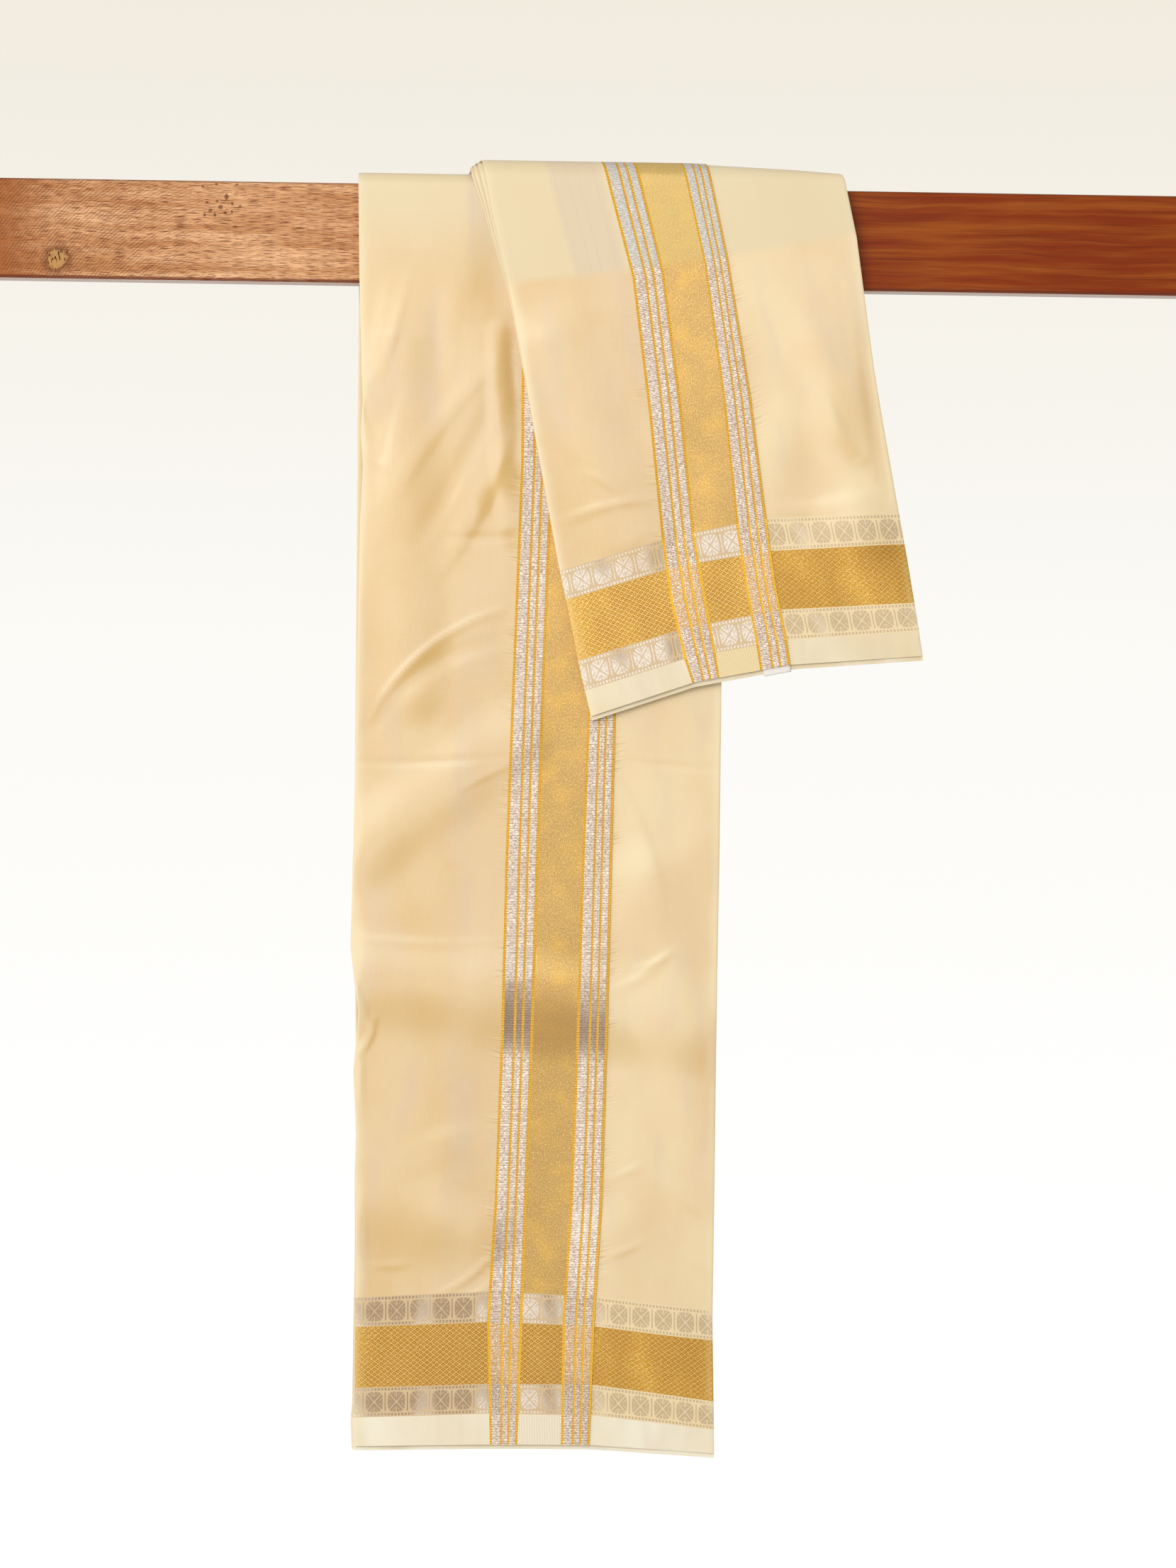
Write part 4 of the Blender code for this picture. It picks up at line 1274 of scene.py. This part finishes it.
def all_finishes(settings):
    """Every finish, made once. Those of the short cloth alone have its name before theirs."""
    if FINISHES:
        return FINISHES
    face, shade, reverse = settings.silk_colour, settings.silk_shade, settings.reverse_colour
    hem, short_hem, hem_shade = settings.hem_colour, settings.short_hem, settings.hem_shade
    row = settings.row_ground
    for key, make, name, *values in (
        ("silk", silk_finish, "cream_silk", face, shade),
        ("reverse", silk_finish, "cream_silk_reverse", reverse, face),
        ("hem", silk_finish, "cream_silk_hem", hem, hem_shade, 0.0),
        ("short_hem", silk_finish, "short_silk_hem", short_hem, hem_shade, 0.0),
        ("striped_hem", striped_hem_finish, "striped_hem", hem),
        ("short_striped_hem", striped_hem_finish, "gold_striped_hem", settings.gold_hem),
        ("silver_band", silver_finish, "silver_band", 0.0, 0.0),
        ("silver_crossing", silver_finish, "silver_crossing", 0.0, 0.9, 0.45),
        ("mixed_crossing", silver_finish, "silver_gold_crossing", 0.7, 0.75, 0.35),
        ("gold_band", gold_band_finish, "gold_tissue"),
        ("motifs", motif_finish, "silver_motifs", row, 1.0),
        ("short_motifs", motif_finish, "bright_motifs", row, 1.0, 0.2),
        ("motifs_reverse", motif_finish, "motifs_reverse", reverse, 0.6, -0.2),
        ("lattice", lattice_finish, "gold_lattice", 1.0, 0.16),
        ("short_lattice", lattice_finish, "bright_gold_lattice", 1.0),
        ("lattice_reverse", lattice_finish, "gold_lattice_reverse", 0.7),
    ):
        FINISHES[key] = make(name, settings, *values)
    FINISHES["label"] = label_finish(settings)
    return FINISHES


def paint(name, description, default):
    """Colour of a settings group."""
    return bpy.props.FloatVectorProperty(
        name=name, description=description, subtype="COLOR", size=3, min=0.0, max=1.0,
        default=default,
    )


def measure(name, description, default):
    """Length of a settings group, in metres."""
    return bpy.props.FloatProperty(
        name=name, description=description, subtype="DISTANCE", unit="LENGTH", min=0.0,
        default=default,
    )


def number_property(name, description, default, subtype="FACTOR", top=1.0):
    """Share, power or strength of a settings group."""
    return bpy.props.FloatProperty(
        name=name, description=description, subtype=subtype, min=0.0, max=top, default=default
    )


class DhotiClothSettings(bpy.types.PropertyGroup):
    """Sizes and colours of the two cloths."""

    across_step: measure("Step across", "Between lengthwise lines of the showing mesh", 0.0026)
    along_step: measure("Step along", "Between crosswise lines of the showing mesh", 0.0028)
    rib_pitch: measure("Rib pitch", "Distance between the silver band's ribs", 0.00148)
    twill_pitch: measure("Twill pitch", "Distance between the silk's twill lines", 0.0013)
    motif_pitch: measure("Motif pitch", "Distance between medallions of the rows", 0.0194)
    lattice_width: measure("Lattice width", "Width of one diamond of the lattice", 0.0057)
    lattice_height: measure("Lattice height", "Height of one diamond", 0.0045)
    silk_colour: paint("Silk", "Cream of the silk's face", (0.82, 0.605, 0.345))
    silk_shade: paint("Silk shade", "Warmer thread of the silk", (0.77, 0.53, 0.26))
    silk_light: paint("Silk light", "Silk that faces the light", (0.92, 0.80, 0.54))
    # Painted shade of the silk in its hollows and puckers
    silk_hollow_shade: paint("Silk hollow", "Silk in the hollows", (0.68, 0.43, 0.13))
    # Lilac of the painted satin reflection, and of the layers below showing through
    silk_painted_lilac: paint("Silk lilac", "Grey cast of layers below", (0.68, 0.54, 0.42))
    reverse_colour: paint("Silk reverse", "Paler reverse of the silk", (0.88, 0.705, 0.43))
    hem_colour: paint("Hem", "Pale, slightly see-through hem", (0.93, 0.88, 0.74))
    hem_shade: paint("Hem shade", "Warmer thread of the hem", (0.88, 0.79, 0.60))
    short_hem: paint("Short hem", "Creamier hem of the short cloth", (0.80, 0.66, 0.42))
    gold_hem: paint("Gold hem", "Short hem between the silver bands", (0.90, 0.74, 0.42))
    hem_stripe: paint("Hem stripe", "Stripes between the bands", (0.72, 0.54, 0.30))
    # Painted tone of the silk over the bar, where no light comes through from behind
    on_bar_painted_tone: paint("Silk on the bar", "Silk with the bar behind", (0.78, 0.67, 0.44))
    silver_colour: paint("Silver thread", "Bright silver thread", (1.0, 0.93, 0.86))
    silver_shade: paint("Silver shade", "Silver between the ribs", (0.49, 0.32, 0.21))
    # Painted shade of the silver where it is turned from the light
    silver_hollow_shade: paint("Silver hollow", "Silver turned away", (0.27, 0.175, 0.11))
    # Painted tone of the silver over the bar
    silver_painted_on_bar: paint("Silver on the bar", "Silver on the bar", (0.58, 0.62, 0.60))
    row_ground: paint("Row ground", "Silk between the motifs", (0.70, 0.52, 0.305))
    motif_dull: paint("Dull motifs", "Motif thread seen flat on", (0.44, 0.31, 0.20))
    motif_deep: paint("Deep motifs", "Dull motif thread in shadow", (0.28, 0.18, 0.09))
    motif_pink: paint("Pink silver", "Bright motif thread in shade", (0.42, 0.29, 0.21))
    gold_line: paint("Gold line", "Gold lines of the silver bands", (1.0, 0.58, 0.03))
    gold_shade: paint("Gold shade", "Gold thread in shadow", (0.46, 0.19, 0.015))
    gold_pale: paint("Pale gold", "Gold thread in light", (1.0, 0.74, 0.28))
    # Painted tone of the gold over the bar
    gold_painted_on_bar: paint("Gold on the bar", "Gold on the bar", (0.66, 0.49, 0.17))
    tissue_colour: paint("Gold band", "Gold tissue", (0.66, 0.41, 0.13))
    # Painted shine of the gold tissue
    tissue_bright: paint("Gold band shine", "Brighter gold tissue", (0.84, 0.51, 0.11))
    tissue_shade: paint("Gold band shade", "Gold tissue in shadow", (0.48, 0.26, 0.08))
    lattice_ground: paint("Lattice ground", "Gold ground", (0.59, 0.262, 0.0))
    lattice_bright: paint("Lattice shine", "Gold ground in light", (0.80, 0.385, 0.002))
    lattice_deep: paint("Lattice shade", "Gold ground in shadow", (0.35, 0.135, 0.0))
    lattice_line: paint("Lattice line", "Pale thread", (0.98, 0.71, 0.27))
    lattice_spark: paint("Lattice spark", "Brightest stitches", (0.98, 0.80, 0.30))
    label_colour: paint("Label", "Satin tape of the care label", (0.92, 0.88, 0.85))
    silk_roughness: number_property("Silk roughness", "Roughness of the silk", 0.42)
    silk_sheen: number_property("Silk sheen", "Strength of the silk's sheen", 0.25)


class DhotiBarSettings(bpy.types.PropertyGroup):
    """Colours of the wooden bar."""

    wood_dark: paint("Dark wood", "Smooth right part", (0.235, 0.028, 0.001))
    wood_mid: paint("Middle wood", "Lighter grain of the right part", (0.35, 0.08, 0.006))
    wood_deep: paint("Deep grain", "Darkest grain and knots", (0.10, 0.022, 0.006))
    wood_light: paint("Light wood", "Sawn left part", (0.55, 0.24, 0.09))
    wood_pale: paint("Pale wood", "Palest grain of the left part", (1.0, 0.60, 0.33))
    wood_line: paint("Grain line", "Dark grain of the left part", (0.155, 0.035, 0.01))
    wood_end: paint("Bar end", "Orange brown of the left end", (0.34, 0.10, 0.018))
    wood_edge: paint("Lower edge", "Dark line along the lower edge", (0.16, 0.035, 0.014))
    # Painted light on the underside, from the bright surroundings below
    wood_underside_light: paint("Underside", "Pale underside", (0.86, 0.72, 0.66))
    knot_ochre: paint("Pale knot", "Ochre heart of the large knot", (0.50, 0.27, 0.09))


class DhotiStageSettings(bpy.types.PropertyGroup):
    """Camera, lights and surroundings."""

    camera_distance: measure("Camera distance", "Distance from the camera to the bar", 4.0)
    camera_right: measure("Camera right", "Camera's place along the bar", 0.0075)
    picture_height: measure("Picture height", "Height that the picture takes in at the bar", 1.377)
    floor_drop: measure("Floor drop", "Depth of the floor below the bar", 1.62)
    floor_radius: measure("Floor radius", "Radius of the floor", 2.2)
    camera_roll: bpy.props.FloatProperty(
        name="Camera roll", description="Roll of the camera", subtype="ANGLE", unit="ROTATION",
        default=math.radians(0.9),
    )
    key_power: number_property("Key light", "Power of the large front light", 62.0, "POWER", 1e4)
    side_power: number_property("Side light", "Power of the light at the left", 10.0, "POWER", 1e4)
    ambient: number_property("Ambient light", "Strength of the light all round", 0.55, "NONE", 10.0)
    backdrop: number_property("Backdrop", "Brightness of the backdrop", 1.02, "NONE", 10.0)


def settings_of(context):
    """The scene's three groups of settings."""
    return context.scene.dhoti_cloth, context.scene.dhoti_bar, context.scene.dhoti_stage


def add_light(power, name, place, aim, size, colour):
    """Square studio light that shines towards a point."""
    light = bpy.data.lights.new(name, "AREA")
    light.shape = "RECTANGLE"
    light.size, light.size_y = size
    light.energy = power
    light.color = colour
    lamp = add_object(name, light)
    lamp.location = place
    lamp.rotation_euler = (Vector(aim) - Vector(place)).to_track_quat("-Z", "Y").to_euler()


def add_camera(stage):
    """Camera at the photo's viewing angle: level, opposite the middle of the long fall."""
    data = bpy.data.cameras.new("camera")
    data.lens = data.sensor_width / 2 / (stage.picture_height / 2 / stage.camera_distance)
    camera = add_object("camera", data)
    camera.location = (stage.camera_right, -stage.camera_distance, CAMERA_HEIGHT)
    camera.rotation_euler = (math.pi / 2, -stage.camera_roll, 0.0)
    bpy.context.scene.camera = camera


def add_floor(stage):
    """Plain pale round floor, below the picture."""
    turns = [2 * math.pi * side / FLOOR_SIDES for side in range(FLOOR_SIDES)]
    radius = stage.floor_radius
    ring = [(radius * math.cos(a), radius * math.sin(a), -stage.floor_drop) for a in turns]
    mesh = bpy.data.meshes.new("studio_floor")
    mesh.from_pydata(ring, [], [list(range(FLOOR_SIDES))])
    floor = add_object("studio_floor", mesh)
    finish = Finish("studio_floor", 0.9)
    place = finish.split(finish.node("ShaderNodeTexCoord").outputs["Object"])
    faint = finish.noise(*[finish.times(part, FLOOR_NOISE * MM) for part in place])
    mesh.materials.append(finish.finish(finish.mix(faint, *FLOOR_COLOURS)))


def add_surroundings(stage):
    """Even studio surroundings: warm off-white above, white below; the lighting part is softer."""
    world = bpy.data.worlds.new("studio")
    world.use_nodes = True
    tree = world.node_tree
    link = tree.links.new
    background = tree.nodes["Background"]
    background.inputs["Color"].default_value = AMBIENT_COLOUR
    background.inputs["Strength"].default_value = stage.ambient
    seen, place, split, height, ramp, path, mix = [
        tree.nodes.new(f"ShaderNode{kind}")
        for kind in (
            "Background", "TexCoord", "SeparateXYZ", "MapRange", "ValToRGB", "LightPath",
            "MixShader",
        )
    ]
    seen.inputs["Strength"].default_value = stage.backdrop
    height.inputs["From Min"].default_value = BACKDROP_LOW
    height.inputs["From Max"].default_value = BACKDROP_HIGH
    elements = ramp.color_ramp.elements
    elements.new(0.5)
    for element, (position, colour) in zip(elements, BACKDROP_COLOURS):
        element.position = position
        element.color = colour
    link(place.outputs["Generated"], split.inputs[0])
    link(split.outputs["Z"], height.inputs["Value"])
    link(height.outputs[0], ramp.inputs[0])
    link(ramp.outputs[0], seen.inputs["Color"])
    link(path.outputs["Is Camera Ray"], mix.inputs[0])
    link(background.outputs[0], mix.inputs[1])
    link(seen.outputs[0], mix.inputs[2])
    link(mix.outputs[0], tree.nodes["World Output"].inputs["Surface"])
    bpy.context.scene.world = world


class DHOTI_OT_stage(bpy.types.Operator):
    """Set the camera, the soft studio light and the pale floor"""

    bl_idname = "dhoti.stage"
    bl_label = "Stage"

    def execute(self, context):
        _, _, stage = settings_of(context)
        add_camera(stage)
        add_floor(stage)
        add_surroundings(stage)
        context.scene.view_settings.view_transform = "Standard"
        add_light(stage.key_power, *KEY_LIGHT)
        add_light(stage.side_power, *SIDE_LIGHT)
        return {"FINISHED"}


class DHOTI_OT_bar(bpy.types.Operator):
    """Give the wooden bar its grain, saw marks and knots"""

    bl_idname = "dhoti.bar"
    bl_label = "Wooden bar"

    def execute(self, context):
        _, bar, _ = settings_of(context)
        wood = wood_finish(bar)
        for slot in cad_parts["wooden_bar"].material_slots:
            slot.material = wood
        return {"FINISHED"}


def lay_cloth(context, cloth):
    """Build one cloth."""
    settings, _, _ = settings_of(context)
    silk, *woven, layers = build_cloth(cloth, settings)


class DHOTI_OT_long_cloth(bpy.types.Operator):
    """Lay the long dhoti cloth over the bar, with its border strip and end rows"""

    bl_idname = "dhoti.long_cloth"
    bl_label = "Long cloth"

    def execute(self, context):
        lay_cloth(context, LONG)
        return {"FINISHED"}


class DHOTI_OT_short_cloth(bpy.types.Operator):
    """Lay the short matching cloth over the long one"""

    bl_idname = "dhoti.short_cloth"
    bl_label = "Short cloth"

    def execute(self, context):
        lay_cloth(context, SHORT)
        return {"FINISHED"}


class DHOTI_OT_care_label(bpy.types.Operator):
    """Sew the plain care label behind the short cloth's hem"""

    bl_idname = "dhoti.care_label"
    bl_label = "Care label"

    def execute(self, context):
        cloth, _, _ = settings_of(context)
        grid = ClothGrid(SHORT, LABEL_GRID * MM, 2 * LABEL_GRID * MM)
        share_u, share_v = np.meshgrid(
            np.linspace(0, 1, LABEL_COLUMNS), np.linspace(0, 1, LABEL_ROWS)
        )
        across = (LABEL_LEFT + (LABEL_RIGHT - LABEL_LEFT) * share_u) * MM
        hem = np.interp(across, SAMPLES, grid.lines[0])
        run = hem + (LABEL_SHOWS + LABEL_TUCK) * MM * (1 - share_v) - LABEL_TUCK * MM
        curl = LABEL_CURL * MM * np.sin(share_u * math.pi) * (1 - share_v)
        points = cloth_points(SHORT, across, run, FACE_WALL * LABEL_SUNK - curl, 0.0)
        maker = PieceMaker()
        start = maker.add_sheet(points, np.zeros_like(across))
        rows, width = across.shape
        maker.add_block(
            "plain_care_tape", start, width, (0, rows - 1), (0, width - 1), across, run
        )
        label = maker.build("plain_care_tape", [all_finishes(cloth)["label"]])
        solidify = label.modifiers.new("Thickness", "SOLIDIFY")
        solidify.thickness = LABEL_THICKNESS * MM
        solidify.offset = 0.0
        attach(label, BODY)
        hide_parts("care_label")
        return {"FINISHED"}


class DHOTI_PT_panel(bpy.types.Panel):
    """Steps that build the folded dhoti cloth"""

    bl_idname = "DHOTI_PT_panel"
    bl_label = "Dhoti Cloth"
    bl_space_type = "VIEW_3D"
    bl_region_type = "UI"
    bl_category = "Dhoti Cloth"

    def draw(self, context):
        for operator in OPERATORS:
            self.layout.operator(operator.bl_idname)
        for group in settings_of(context):
            box = self.layout.box()
            for name in group.__annotations__:
                box.prop(group, name)


SETTINGS = {
    "dhoti_cloth": DhotiClothSettings,
    "dhoti_bar": DhotiBarSettings,
    "dhoti_stage": DhotiStageSettings,
}
OPERATORS = (
    DHOTI_OT_stage, DHOTI_OT_bar, DHOTI_OT_long_cloth, DHOTI_OT_short_cloth, DHOTI_OT_care_label,
)


def register():
    """Make the settings, the operators and the panel known to Blender."""
    for group in SETTINGS.values():
        bpy.utils.register_class(group)
    for name, group in SETTINGS.items():
        setattr(bpy.types.Scene, name, bpy.props.PointerProperty(type=group))
    for operator in (*OPERATORS, DHOTI_PT_panel):
        bpy.utils.register_class(operator)


def unregister():
    """Take them out again, last ones first."""
    for operator in reversed((*OPERATORS, DHOTI_PT_panel)):
        bpy.utils.unregister_class(operator)
    for name in SETTINGS:
        delattr(bpy.types.Scene, name)
    for group in reversed(SETTINGS.values()):
        bpy.utils.unregister_class(group)


def main():
    """Build the scene in order."""
    register()
    bpy.ops.dhoti.stage()
    bpy.ops.dhoti.bar()
    bpy.ops.dhoti.long_cloth()
    bpy.ops.dhoti.short_cloth()
    bpy.ops.dhoti.care_label()
    bpy.context.view_layer.update()


if __name__ == "__main__":
    main()
